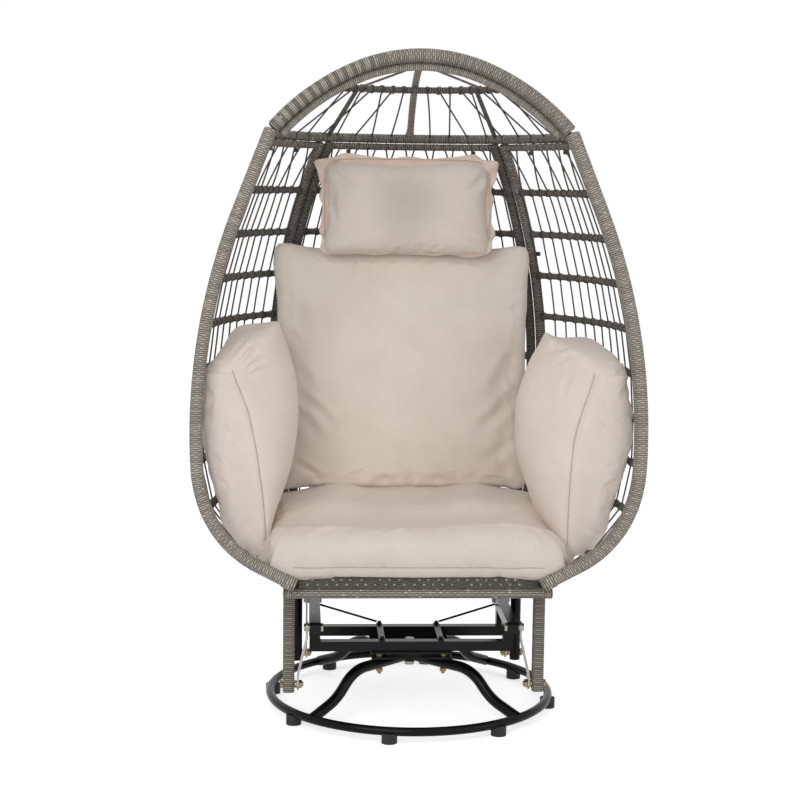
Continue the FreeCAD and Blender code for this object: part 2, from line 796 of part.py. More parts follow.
def band_profile(centre, heading):
    """A stadium section, hoop_thick in the hoop's plane and hoop_depth across it."""
    radius = mm("hoop_thick") / 2
    inward = Vector(-math.sin(heading), 0, math.cos(heading))
    depth = Vector(0, mm("hoop_depth") / 2 - radius, 0)
    corners = [
        centre - depth + inward * radius,
        centre - depth - inward * radius,
        centre + depth - inward * radius,
        centre + depth + inward * radius,
    ]
    front = arc_through(corners[0], centre - depth - Vector(0, radius, 0), corners[1])
    back = arc_through(corners[2], centre + depth + Vector(0, radius, 0), corners[3])
    outer = Part.makeLine(corners[1], corners[2])
    inner = Part.makeLine(corners[3], corners[0])
    return Part.Wire([front, outer, back, inner])


HALF_BAND = mm("hoop_thick") / 2
HOOP_CENTRE, HOOP_TOP = hoop_path(HALF_BAND, 0.0)


def across_at(edges, level):
    """The X of a rising or falling line of edges where it passes a level."""
    for edge in edges:
        low, high = edge.FirstParameter, edge.LastParameter
        if (edge.valueAt(low).z - level) * (edge.valueAt(high).z - level) > 0:
            continue
        rising = edge.valueAt(high).z > edge.valueAt(low).z
        for _ in range(50):
            middle = (low + high) / 2
            if (edge.valueAt(middle).z > level) == rising:
                high = middle
            else:
                low = middle
        return edge.valueAt(low).x
    raise ValueError("no crossing at level %g" % level)


def hoop_half_width(height):
    """Distance from the middle plane to the hoop's centreline at a height over the floor."""
    lowest = HOOP_CENTRE[0].valueAt(HOOP_CENTRE[0].FirstParameter).z
    return across_at(HOOP_CENTRE, max(height / math.cos(LEAN), lowest))


def front_room():
    """The space of the front rail and of the apron above it, with a face gap all round."""
    height = mm("rail_height")
    front = -mm("front_rail_reach")
    half = mm("front_rail_half") - RAIL_RADIUS
    rail = rounded_bar(Vector(-half, front, height), Vector(half, front, height), mm("rail_tube") + 2 * FACE_GAP)
    wide = mm("apron_half") + FACE_GAP
    thick = mm("apron_thick") + 2 * FACE_GAP
    corner = Vector(-wide, front - thick / 2, DECK_BASE)
    return [rail, Part.makeBox(2 * wide, thick, mm("apron_rise") + FACE_GAP, corner)]


def build_hoop():
    edges, top = hoop_path(HALF_BAND, HOOP_RUN_IN)
    start = edges[0].valueAt(edges[0].FirstParameter)
    band = swept(Part.Wire(edges), band_profile(start, HOOP_FOOT_ANGLE))
    band.Placement = LEANING
    band = clear_of(band, front_room())
    keep("hoop_right", band)
    keep("hoop_left", mirrored(band))


build_hoop()


# Meridians of the woven shell, each an arc of one circle in an upright plane

CORNER_BULGE = Vector(313.1, 207.0, 722.7)
CORNER_RADIUS = 1187.0
CORNER_AZIMUTH = math.radians(31.8)
BACK_BULGE_REACH = 318.5
BACK_BULGE_HEIGHT = 710.0
BACK_RADIUS = 1463.0
PANEL_STEP = mm("panel_tube") + mm("panel_gap")
PANEL_TURN = math.radians(21.5)


def drop_from(radius, rise):
    return radius - math.sqrt(radius * radius - rise * rise)


def corner_point(height):
    """The side panel's rear tube, where side and back meet."""
    inset = drop_from(CORNER_RADIUS, height - CORNER_BULGE.z)
    across = CORNER_BULGE.x - inset * math.cos(CORNER_AZIMUTH)
    along = CORNER_BULGE.y - inset * math.sin(CORNER_AZIMUTH)
    return Vector(across, along, height)


def back_corner_point(height):
    """The back panel's side tube, beside the rear tube."""
    step = Vector(-math.cos(PANEL_TURN), math.sin(PANEL_TURN), 0) * PANEL_STEP
    return corner_point(height) + step


def back_point(height):
    return Vector(0, BACK_BULGE_REACH - drop_from(BACK_RADIUS, height - BACK_BULGE_HEIGHT), height)


def hoop_rear_point(height):
    """Where a rib meets the back of the hoop's band."""
    across = hoop_half_width(height)
    along = height * math.tan(LEAN) - mm("hoop_floor_reach")
    return Vector(across, along + mm("hoop_depth") / 2 / math.cos(LEAN), height)


def plan_arc(start, end, sagitta, trim_start, trim_end):
    """A level arc that bulges outward by sagitta, shortened at both ends."""
    chord = end.sub(start)
    length = math.hypot(chord.x, chord.y)
    outward = Vector(chord.y, -chord.x, 0) * (1.0 / length)
    radius = (length * length / 4 + sagitta * sagitta) / (2 * sagitta)
    centre = (start + end) * 0.5 - outward * (radius - sagitta)
    half = math.asin(length / 2 / radius)
    middle = math.atan2(outward.y, outward.x)
    first = middle - half + trim_start / radius
    last = middle + half - trim_end / radius

    def spot(turn):
        return centre + Vector(math.cos(turn), math.sin(turn), 0) * radius

    return spot, first, last


def arc_tube(spot, first, last, diameter):
    edge = arc_through(spot(first), spot((first + last) / 2), spot(last))
    return tube([edge], diameter)


SIDE_SAGITTA_SHARE = 0.085


def side_arc(height, trim_start, trim_end):
    start = hoop_rear_point(height)
    end = corner_point(height)
    sagitta = SIDE_SAGITTA_SHARE * start.distanceToPoint(end)
    return plan_arc(start, end, sagitta, trim_start, trim_end)


def back_arc(height, trim):
    end = back_corner_point(height)
    start = Vector(end.x, end.y, height)
    far = Vector(-end.x, end.y, height)
    sagitta = back_point(height).y - end.y
    return plan_arc(start, far, sagitta, trim, trim)


SIDE_SILL = DECK_TOP + mm("rib_tube") / 2 + SOFT_GAP
RIB_ROOM = mm("first_rib_height") - SIDE_SILL - 1.3 * mm("rib_tube")
RIB_COUNT = 1 + int(RIB_ROOM / mm("rib_spacing"))
RIB_HEIGHTS = [mm("first_rib_height") - index * mm("rib_spacing") for index in range(RIB_COUNT)]
HALF_PANEL = mm("panel_tube") / 2
TOP_RADIUS = mm("top_rail_tube") / 2
HOOP_MEET = 1.3
SIDE_MEET = HALF_PANEL + SOFT_GAP
BACK_MEET = HALF_PANEL * 1.13 + SOFT_GAP


def meridian_tube(point_at, low, high):
    """A panel tube with both ends cut level."""
    spare = mm("panel_tube") / 2
    ends = (low - spare, high + spare)
    edge = arc_through(point_at(ends[0]), point_at((low + high) / 2), point_at(ends[1]))
    slab = Part.makeBox(1200, 1200, high - low, Vector(-600, -600, low))
    return tube([edge], mm("panel_tube")).common(slab)


def build_panel_tubes():
    low = DECK_BASE
    high = mm("top_rail_height") + TOP_RADIUS
    keep("side_rear_tubes", group(both_sides(meridian_tube(corner_point, low, high))))
    keep("back_side_tubes", group(both_sides(meridian_tube(back_corner_point, low, high))))


def build_side_panels():
    rails = arc_tube(*side_arc(mm("top_rail_height"), HOOP_MEET, SIDE_MEET), mm("top_rail_tube"))
    keep("side_top_rails", group(both_sides(rails)))
    sill = arc_tube(*side_arc(SIDE_SILL, 6.0, SIDE_MEET), mm("rib_tube"))
    keep("side_bottom_rails", group(both_sides(sill)))
    ribs = [arc_tube(*side_arc(height, HOOP_MEET, SIDE_MEET), mm("rib_tube")) for height in RIB_HEIGHTS]
    keep("side_ribs_right", group(ribs))
    keep("side_ribs_left", group([mirrored(rib) for rib in ribs]))


def build_back_panel():
    keep("back_top_rail", arc_tube(*back_arc(mm("top_rail_height"), BACK_MEET), mm("top_rail_tube")))
    keep("back_bottom_rail", arc_tube(*back_arc(SIDE_SILL, BACK_MEET), mm("rib_tube")))
    ribs = [arc_tube(*back_arc(height, BACK_MEET), mm("rib_tube")) for height in RIB_HEIGHTS]
    keep("back_ribs", group(ribs))


def strand_rows():
    """Each row of strands as its upper and lower heights and the two tube radii."""
    heights = [mm("top_rail_height")] + RIB_HEIGHTS + [SIDE_SILL]
    rows = []
    for index in range(len(heights) - 1):
        upper_radius = TOP_RADIUS if index == 0 else mm("rib_tube") / 2
        rows.append((heights[index], heights[index + 1], upper_radius, mm("rib_tube") / 2))
    return rows


def end_cut(run, along, radius, diameter):
    """How much of a span to take off so that its end stays just clear of a tube it meets."""
    lean = abs(run.dot(along))
    return (radius + SOFT_GAP + lean * diameter / 2) / math.sqrt(1 - lean * lean)


def clear_span(ends, headings, radii, diameter):
    """A straight span between two tubes, given its two ends, the tubes' headings and radii."""
    run = ends[1].sub(ends[0])
    run.normalize()
    first, last = [end_cut(run, headings[side], radii[side], diameter) for side in (0, 1)]
    return rod(ends[0] + run * first, ends[1] - run * last, diameter)


def strands_between(arc_at, count, margin):
    spans = []
    for high, low, upper_radius, lower_radius in strand_rows():
        arcs = (arc_at(high), arc_at(low))
        for index in range(count):
            share = margin + (1 - 2 * margin) * index / (count - 1)
            ends = []
            headings = []
            for spot, first, last in arcs:
                turn = first + share * (last - first)
                ends.append(spot(turn))
                headings.append(Vector(-math.sin(turn), math.cos(turn), 0))
            spans.append(clear_span(ends, headings, (upper_radius, lower_radius), mm("strand_diameter")))
    return spans


def build_strands():
    side = strands_between(lambda height: side_arc(height, SOFT_GAP, HALF_PANEL), SIDE_STRANDS, 0.035)
    keep("side_strands_right", group(side))
    keep("side_strands_left", group([mirrored(span) for span in side]))
    back = strands_between(lambda height: back_arc(height, HALF_PANEL), BACK_STRANDS, 0.03)
    keep("back_strands", group(back))


build_panel_tubes()
build_side_panels()
build_back_panel()
build_strands()


# Cap


def cap_edges(inset):
    """The arch's line in the hoop's plane, from the right joint over the top to the left."""
    crown = CAP_CROWN_RADIUS - inset
    shoulder = CAP_SHOULDER_RADIUS - inset
    turn = math.radians(CAP_CROWN_ANGLE)
    crown_centre = Vector(0, 0, mm("cap_top_height") - CAP_CROWN_RADIUS)
    meet = crown_centre + Vector(math.sin(turn), 0, math.cos(turn)) * crown
    shoulder_centre = meet - Vector(math.sin(turn), 0, math.cos(turn)) * shoulder
    low = mm("hoop_joint_height") + 2.0
    last = math.acos((low + 6.0 - shoulder_centre.z) / shoulder)
    middle = (turn + last) / 2
    end = shoulder_centre + Vector(math.sin(last), 0, math.cos(last)) * shoulder
    bend = shoulder_centre + Vector(math.sin(middle), 0, math.cos(middle)) * shoulder
    top = crown_centre + Vector(0, 0, crown)
    left_meet = Vector(-meet.x, 0, meet.z)
    edges = [
        arc_through(end, bend, meet),
        arc_through(meet, top, left_meet),
        arc_through(left_meet, Vector(-bend.x, 0, bend.z), Vector(-end.x, 0, end.z)),
    ]
    return edges, end, last


def cap_half_width(height):
    """Distance from the middle plane to the arch's centreline at a height over the floor."""
    return abs(across_at(cap_edges(HALF_BAND)[0], height / math.cos(LEAN)))


def build_arch():
    edges, end, last = cap_edges(HALF_BAND)
    profile = band_profile(end, math.pi - last)
    keep("cap_arch", swept(Part.Wire(edges), profile), LEANING)
    inner = cap_edges(mm("hoop_thick") + mm("arch_inner_tube") / 2 + FACE_GAP)[0]
    rear = Vector(0, (mm("hoop_depth") - mm("arch_inner_tube")) / 2, 0)
    keep("cap_arch_inner_tube", tube(inner, mm("arch_inner_tube")).translated(rear), LEANING)


def bow_edges(front, corner, back):
    """A level bow from the right front round the back to the left front, in three arcs."""
    half = corner.x
    sag = back.y - corner.y
    radius = (half * half + sag * sag) / (2 * sag)
    centre = Vector(0, back.y - radius, back.z)
    outward = (corner - centre) * (1.0 / radius)
    offset = front - corner
    side_radius = -(offset.x ** 2 + offset.y ** 2) / (2 * (offset.x * outward.x + offset.y * outward.y))
    side_centre = corner - outward * side_radius
    towards = (front + corner) * 0.5 - side_centre
    middle = side_centre + towards * (side_radius / towards.Length)

    def flip(point):
        return Vector(-point.x, point.y, point.z)

    return [
        arc_through(front, middle, corner),
        arc_through(corner, back, flip(corner)),
        arc_through(flip(corner), flip(middle), flip(front)),
    ]


def arch_rear_point(height):
    across = cap_half_width(height)
    along = height * math.tan(LEAN) - mm("hoop_floor_reach")
    return Vector(across, along + mm("hoop_depth") / 2 / math.cos(LEAN) + HOOP_MEET, height)


CAP_RAIL_INSET = 6.0


def cap_rail_points():
    height = mm("cap_rail_height")
    corner = corner_point(mm("top_rail_height"))
    back = back_point(mm("top_rail_height"))
    front = hoop_rear_point(mm("top_rail_height"))
    front_point = Vector(front.x - CAP_RAIL_INSET, front.y + 14.0, height)
    return front_point, Vector(corner.x - 10.0, corner.y + 2.0, height), Vector(0, back.y, height)


def mid_rib_points():
    height = mm("mid_rib_height")
    front = arch_rear_point(height)
    return front, Vector(112.0, 8.0, height), Vector(0, 45.0, height)


def bow_at(points, share):
    """A spot on a bow and its heading there; share runs from 0 at the right to 1 at the left."""
    wire = Part.Wire(bow_edges(*points))
    before, spot, after = [
        wire.discretize(Number=401)[int(round(400 * share)) + step] for step in (-1, 0, 1)
    ]
    heading = after.sub(before)
    heading.normalize()
    return spot, heading


def bow_span(upper_share, lower_share, diameter):
    """A straight span from the upper bow down to the cap's rail."""
    upper, upper_heading = bow_at(mid_rib_points(), upper_share)
    lower, lower_heading = bow_at(cap_rail_points(), lower_share)
    radii = (mm("mid_rib_tube") / 2, mm("cap_rail_tube") / 2)
    return clear_span((upper, lower), (upper_heading, lower_heading), radii, diameter)


def build_cap():
    build_arch()
    rail = tube(bow_edges(*cap_rail_points()), mm("cap_rail_tube"))
    keep("cap_rail", rail)
    mid = tube(bow_edges(*mid_rib_points()), mm("mid_rib_tube"))
    keep("cap_mid_rib", mid)
    apex = lean_point(Vector(0, 0, mm("cap_top_height") - mm("hoop_thick")))
    rail_back = cap_rail_points()[2]
    mid_back = mid_rib_points()[2]
    over = mm("mid_rib_tube") / 2 + mm("rib_tube") / 2 + SOFT_GAP
    start = apex + Vector(0, mm("hoop_depth") / 2 - 2.0, -6.0)
    bridge = mid_back + Vector(0, 4.0, over)
    end = rail_back + Vector(0, 0, mm("cap_rail_tube") / 2 + 4.0)
    spoke = tube([arc_through(start, bridge, end)], mm("rib_tube"))
    spoke = spoke.cut(tube(bow_edges(*cap_rail_points()), mm("cap_rail_tube") + 2 * SOFT_GAP))
    for item in nodes:
        if item.Label.startswith("cap_arch"):
            spoke = spoke.cut(item.Shape)
    spokes = [max(spoke.Solids, key=lambda solid: solid.Volume)]
    spokes += both_sides(bow_span(SLANT_SHARES[0], SLANT_SHARES[1], 10.0))
    keep("cap_spokes", group(spokes))


# Where the two slanted spokes of the cap leave the upper bow and meet the rail
SLANT_SHARES = (0.27, 0.3125)


def build_cap_strands():
    """Straight spans from the upper bow down to the cap's rail, on each side of the spoke."""
    spans = []
    for index in range(1, CAP_STRANDS + 1):
        share = index / (2.0 * CAP_STRANDS + 2)
        if SLANT_SHARES[0] < share < SLANT_SHARES[1]:
            continue
        spans += both_sides(bow_span(share, share, mm("strand_diameter")))
    keep("cap_strands", group(spans))


def build_panel_bolts():
    """Connector bolts: the cap to the panels, and the side panels to the back panel."""
    bolts = []
    for share in (0.246, 0.754):
        spot, first, last = side_arc(mm("top_rail_height"), 0.0, HALF_PANEL)
        point = spot(first + share * (last - first)) - Vector(0, 0, TOP_RADIUS + SOFT_GAP)
        bolts += both_sides(Part.makeCylinder(5.0, 9.0, point, Vector(0, 0, -1)))
    spot, first, last = back_arc(mm("top_rail_height"), HALF_PANEL)
    point = spot(first + 0.113 * (last - first)) - Vector(0, 0, TOP_RADIUS + SOFT_GAP)
    bolts += both_sides(Part.makeCylinder(5.0, 9.0, point, Vector(0, 0, -1)))
    for height in (1005.0, 620.0):
        point = corner_point(height)
        outward = Vector(math.cos(CORNER_AZIMUTH), -math.sin(CORNER_AZIMUTH), 0)
        bolts += both_sides(Part.makeCylinder(5.0, 9.0, point + outward * (HALF_PANEL + SOFT_GAP), outward))
    keep("panel_bolts", group(bolts))


build_cap()
build_cap_strands()
build_panel_bolts()


# Cushions


def pillow_section(width, thick, edge, station, crown_below):
    """A closed section across a cushion: crowned top, short bowed sides, flat or crowned base."""
    half = width / 2
    side = edge * 0.35
    base = -edge / 2
    top = edge / 2
    corners = [
        Vector(-half, station, base),
        Vector(half, station, base),
        Vector(half, station, top),
        Vector(-half, station, top),
    ]
    if crown_below:
        below = arc_through(corners[0], Vector(0, station, -thick / 2), corners[1])
    else:
        below = Part.makeLine(corners[0], corners[1])
    above_height = thick / 2 if crown_below else base + thick
    right = arc_through(corners[1], Vector(half + side, station, 0), corners[2])
    above = arc_through(corners[2], Vector(0, station, above_height), corners[3])
    left = arc_through(corners[3], Vector(-half - side, station, 0), corners[0])
    return Part.Wire([below, right, above, left])


def pillow(width, length, thick, crown_below, drawn_in):
    """A cushion along local Y: full corners, sides drawn in between them, thin front and rear edges."""
    sections = []
    for share in (-1.0, -0.86, -0.5, 0.0, 0.5, 0.86, 1.0):
        fullness = 1.0 - 0.62 * abs(share) ** 3.2
        across = width - drawn_in * (1.0 - share * share) - 30.0 * abs(share) ** 8
        edge = thick * (0.42 - 0.17 * abs(share) ** 4)
        section_thick = max(thick * fullness, edge * 1.12)
        wire = pillow_section(across, section_thick, edge, share * length / 2, crown_below)
        sections.append(wire)
    return Part.makeLoft(sections, True, False)


# Seat cushion sections from front to rear: the share of the depth, then how far base, side and
# shoulder stand in from half the width, then how high underside, side, shoulder and crown are
SEAT_SECTIONS = (
    (0.0, 66, 18, 32, 59, 38, 77, 87),
    (0.04, 58, 15, 36, 59, 22, 87, 105),
    (0.155, 56, 0, 2, 57, 16, 91, 119),
    (0.42, 52, 0, 2, 55, 20, 89, 137),
    (0.72, 54, 0, 4, 55, 22, 87, 149),
    (0.92, 62, 0, 20, 53, 38, 83, 145),
    (1.0, 64, 5, 32, 51, 50, 73, 105),
)
SEAT_FRONT = -mm("front_rail_reach") - 26.0
BACK_CUSHION_SHIFT = -20.0
BACK_CUSHION_LEAN = 8.0


def seat_section(row):
    share, base_in, low, side_in, middle, shoulder_in, shoulder, crown = row
    station = share * mm("seat_cushion_depth")
    half = mm("seat_cushion_width") / 2
    scale = mm("seat_cushion_thick") / 149.0
    corners = (
        (half - base_in, low),
        (half - side_in - 4.0, middle - 14.0),
        (half - side_in, middle),
        (half - shoulder_in, shoulder),
    )
    right = [Vector(across, station, rise * scale) for across, rise in corners]
    left = [Vector(-point.x, point.y, point.z) for point in right]
    top = Vector(0, station, crown * scale)
    return Part.Wire(
        [
            Part.makeLine(left[0], right[0]),
            Part.makeLine(right[0], right[1]),
            arc_through(right[1], right[2], right[3]),
            arc_through(right[3], top, left[3]),
            arc_through(left[3], left[2], left[1]),
            Part.makeLine(left[1], left[0]),
        ]
    )


def build_cushions():
    seat = Part.makeLoft([seat_section(row) for row in SEAT_SECTIONS], True, False)
    seat.translate(Vector(0, SEAT_FRONT, DECK_TOP + SOFT_GAP))
    apron_rear = mm("apron_thick") / 2 - mm("front_rail_reach") + SOFT_GAP
    apron_top = DECK_BASE + mm("apron_rise") + SOFT_GAP
    notch = Part.makeBox(1200, 400, apron_top, Vector(-600, apron_rear - 400, 0))
    floor = Part.makeBox(1200, 1200, DECK_TOP + SOFT_GAP, Vector(-600, -600, 0))
    hoops = [item.Shape for item in nodes if item.Label.startswith("hoop")]
    keep("seat_cushion", clear_of(seat.cut(notch.fuse(floor)), hoops))

    back = pillow(
        mm("back_cushion_width"), mm("back_cushion_height"), mm("back_cushion_thick"), True, 16.0
    )
    upright = Rotation(Vector(1, 0, 0), 90 - BACK_CUSHION_LEAN)
    keep("back_cushion", back, Placement(Vector(BACK_CUSHION_SHIFT, 96.0, 747.0), upright))

    head = pillow(mm("pillow_width"), mm("pillow_height"), mm("pillow_thick"), True, 10.0)
    tipped = Rotation(Vector(1, 0, 0), 90 - BACK_CUSHION_LEAN - 4)
    keep("head_pillow", head, Placement(Vector(BACK_CUSHION_SHIFT + 7, 84.3, 1112.0), tipped))


# Arm cushion sections from front to rear: the share of the depth, then three points down the
# outer face and three up the inner face, each as inset from the reach and rise from the base
ARM_SECTIONS = (
    (0.0, ((16, 372), (3, 235), (100, 13)), ((134, 19), (111, 205), (64, 372))),
    (0.085, ((22, 400), (3, 235), (104, 10)), ((140, 27), (144, 215), (88, 400))),
    (0.4, ((44, 430), (12, 235), (104, 13)), ((144, 53), (194, 255), (138, 453))),
    (0.78, ((72, 455), (34, 245), (110, 25)), ((146, 65), (200, 265), (160, 477))),
    (1.0, ((104, 453), (58, 255), (118, 55)), ((138, 85), (166, 265), (152, 467))),
)
ARM_FRONT = -219.0
ARM_BASE = 385.0


def arm_section(row):
    share, outer, inner = row
    station = ARM_FRONT + share * mm("arm_cushion_depth")
    scale = mm("arm_cushion_height") / 470.0
    faces = []
    for face in (outer, inner):
        faces.append(
            [
                Vector(mm("arm_cushion_reach") - inset, station, ARM_BASE + rise * scale)
                for inset, rise in face
            ]
        )
    down, up = faces
    low = Part.makeLine(down[2], up[0])
    high = Part.makeLine(up[2], down[0])
    return Part.Wire([arc_through(*down), low, arc_through(*up), high])


def build_arm_cushions():
    arm = Part.makeLoft([arm_section(row) for row in ARM_SECTIONS], True, False)
    keep("arm_cushion_right", arm)
    keep("arm_cushion_left", mirrored(arm))


build_cushions()
build_arm_cushions()


def check_document():
    doc.recompute()
    for item in doc.Objects:
        if "Invalid" in item.State or "Error" in item.State:
            raise RuntimeError("%s failed: %s" % (item.Name, item.State))
    for item in nodes:
        if item.Shape.isNull() or not item.Shape.isValid():
            raise RuntimeError("%s has no valid shape" % item.Label)


check_document()
os.makedirs("parts", exist_ok=True)
for item in nodes:
    item.Shape.exportStep("parts/%s.step" % item.Label)
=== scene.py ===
import json
import math

import bpy
import numpy as np
from mathutils import Matrix, Vector
from mathutils.bvhtree import BVHTree


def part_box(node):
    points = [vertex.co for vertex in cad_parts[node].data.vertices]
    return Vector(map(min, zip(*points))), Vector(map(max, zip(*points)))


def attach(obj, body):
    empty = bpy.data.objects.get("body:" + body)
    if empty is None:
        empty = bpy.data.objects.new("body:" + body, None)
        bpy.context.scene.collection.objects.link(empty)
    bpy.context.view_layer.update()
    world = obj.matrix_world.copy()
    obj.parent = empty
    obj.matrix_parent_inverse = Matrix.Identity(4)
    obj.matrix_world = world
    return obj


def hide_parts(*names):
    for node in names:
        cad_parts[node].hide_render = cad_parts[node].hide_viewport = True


# Looks of the pod chair: wrapped tubes, woven strands, sewn cushions and gloss steel, built over
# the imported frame. Lengths are in metres, +Z is up and the chair faces -Y.

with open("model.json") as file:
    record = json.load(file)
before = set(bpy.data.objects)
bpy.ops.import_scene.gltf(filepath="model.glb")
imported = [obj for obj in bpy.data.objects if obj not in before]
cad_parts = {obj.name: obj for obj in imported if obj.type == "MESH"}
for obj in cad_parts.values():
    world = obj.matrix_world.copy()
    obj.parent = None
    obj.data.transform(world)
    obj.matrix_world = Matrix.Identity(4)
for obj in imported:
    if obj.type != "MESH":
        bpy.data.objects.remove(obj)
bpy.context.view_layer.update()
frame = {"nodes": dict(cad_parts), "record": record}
NODES = frame["nodes"]
SEAT = "seat"
TURN = 2 * math.pi
UPRIGHT = np.array([0.0, 0.0, 1.0])
MIRROR = np.array([-1.0, 1.0, 1.0])
SIDES = (("right", np.ones(3)), ("left", MIRROR))


def linked(name, data):
    """A new object in the scene."""
    item = bpy.data.objects.new(name, data)
    bpy.context.scene.collection.objects.link(item)
    return item


def unit(vectors):
    return vectors / np.linalg.norm(vectors, axis=-1, keepdims=True)


# Camera, from the photograph's frame

FRAME = 800.0
SENSOR = 36.0
FOCAL = 1750.0
CAMERA_AT = np.array([-0.2535, -3.8515, 1.1577])
YAW = math.radians(3.345)
PITCH = math.radians(6.985)
ROLL = math.radians(0.726)


def camera_axes():
    ahead = np.array(
        [math.sin(YAW) * math.cos(PITCH), math.cos(YAW) * math.cos(PITCH), -math.sin(PITCH)]
    )
    level = np.array([math.cos(YAW), -math.sin(YAW), 0.0])
    upright = np.cross(level, ahead)
    right = level * math.cos(ROLL) + upright * math.sin(ROLL)
    up = upright * math.cos(ROLL) - level * math.sin(ROLL)
    return right, up, ahead


RIGHT, UP, AHEAD = camera_axes()


def pixels(points):
    """Where points fall in the photograph's frame."""
    away = points - CAMERA_AT
    spots = np.stack([away @ RIGHT, -(away @ UP)], -1)
    return FRAME / 2 + FOCAL * spots / (away @ AHEAD)[:, None]


def on_plane(spots, along):
    """Where the photograph's pixels fall on the upright plane at y = along."""
    across, down = (np.asarray(spots, float).T - FRAME / 2)[..., None] / FOCAL
    rays = AHEAD + RIGHT * across - UP * down
    return CAMERA_AT + rays * ((along - CAMERA_AT[1]) / rays[:, 1])[:, None]


def make_camera():
    data = bpy.data.cameras.new("camera")
    data.sensor_width = SENSOR
    data.lens = FOCAL / FRAME * SENSOR
    camera = linked("camera", data)
    camera.matrix_world = Matrix([*zip(RIGHT, UP, -AHEAD, CAMERA_AT), (0, 0, 0, 1)])
    bpy.context.scene.camera = camera


# Materials


def tone(*levels):
    """A colour given as it shows on a screen, 0 to 255, as the shader wants it."""
    shares = [level / 255 for level in levels]
    return (*(v / 12.92 if v <= 0.04045 else ((v + 0.055) / 1.055) ** 2.4 for v in shares), 1.0)


class Shader:
    """The node tree of a material or a world, written as nested calls."""

    def __init__(self, name, world=None):
        self.owner = world or bpy.data.materials.new(name)
        self.owner.use_nodes = True
        self.tree = self.owner.node_tree
        self.surface = self.tree.nodes["Background" if world else "Principled BSDF"]

    def set(self, socket, value):
        """Links an output to a socket or sets its value. Three numbers are a screen colour."""
        if isinstance(value, bpy.types.NodeSocket):
            self.tree.links.new(value, socket)
        else:
            on_screen = socket.type == "RGBA" and len(value) == 3
            socket.default_value = tone(*value) if on_screen else value

    def add(self, kind, output=0, inputs=None, **settings):
        node = self.tree.nodes.new("ShaderNode" + kind)
        for key, value in settings.items():
            setattr(node, key, value)
        for key, value in (inputs or {}).items():
            self.set(node.inputs[key], value)
        return node.outputs[output]

    def split(self, vector):
        return self.add("SeparateXYZ", 0, {0: vector}).node.outputs

    def math(self, operation, first, second=0.0, third=0.0):
        return self.add("Math", 0, {0: first, 1: second, 2: third}, operation=operation)

    def times(self, first, second):
        return self.math("MULTIPLY", first, second)

    def plus(self, first, second):
        return self.math("ADD", first, second)

    def scaled(self, value, factor, rest):
        return self.math("MULTIPLY_ADD", value, factor, rest)

    def edge(self, phase):
        """0 in the middle of each turn of a phase, 1 at its start and end."""
        return self.math("ABSOLUTE", self.scaled(self.math("FRACT", phase), 2.0, -1.0))

    def mix(self, share, first, second):
        return self.add("Mix", 2, {0: share, 6: first, 7: second}, data_type="RGBA")

    def smooth(self, value, low, high, to_low=0.0, to_high=1.0):
        inputs = dict(enumerate((value, low, high, to_low, to_high)))
        return self.add("MapRange", 0, inputs, interpolation_type="SMOOTHSTEP")

    def noise(self, vector, scale, detail=3.0, roughness=0.55):
        inputs = {"Vector": vector, "Scale": scale, "Detail": detail, "Roughness": roughness}
        return self.add("TexNoise", 0, inputs)

    def stretched(self, vector, along):
        return self.add("Mapping", 0, {"Vector": vector, "Scale": (1.0, 1.0, along)})

    def place(self):
        return self.add("TexCoord", 3)

    def seen_directly(self):
        """1 for rays that look at the backdrop, also through a reflection or glass."""
        rays = self.add("LightPath").node.outputs
        seen = self.math("MAXIMUM", rays["Is Camera Ray"], rays["Is Glossy Ray"])
        return self.math("MAXIMUM", seen, rays["Is Transmission Ray"])

    def bump(self, height, distance, strength):
        inputs = {"Height": height, "Distance": distance, "Strength": strength}
        self.set(self.surface.inputs["Normal"], self.add("Bump", 0, inputs))

    def finish(self, **values):
        for key, value in values.items():
            self.set(self.surface.inputs[key.replace("_", " ")], value)
        return self.owner


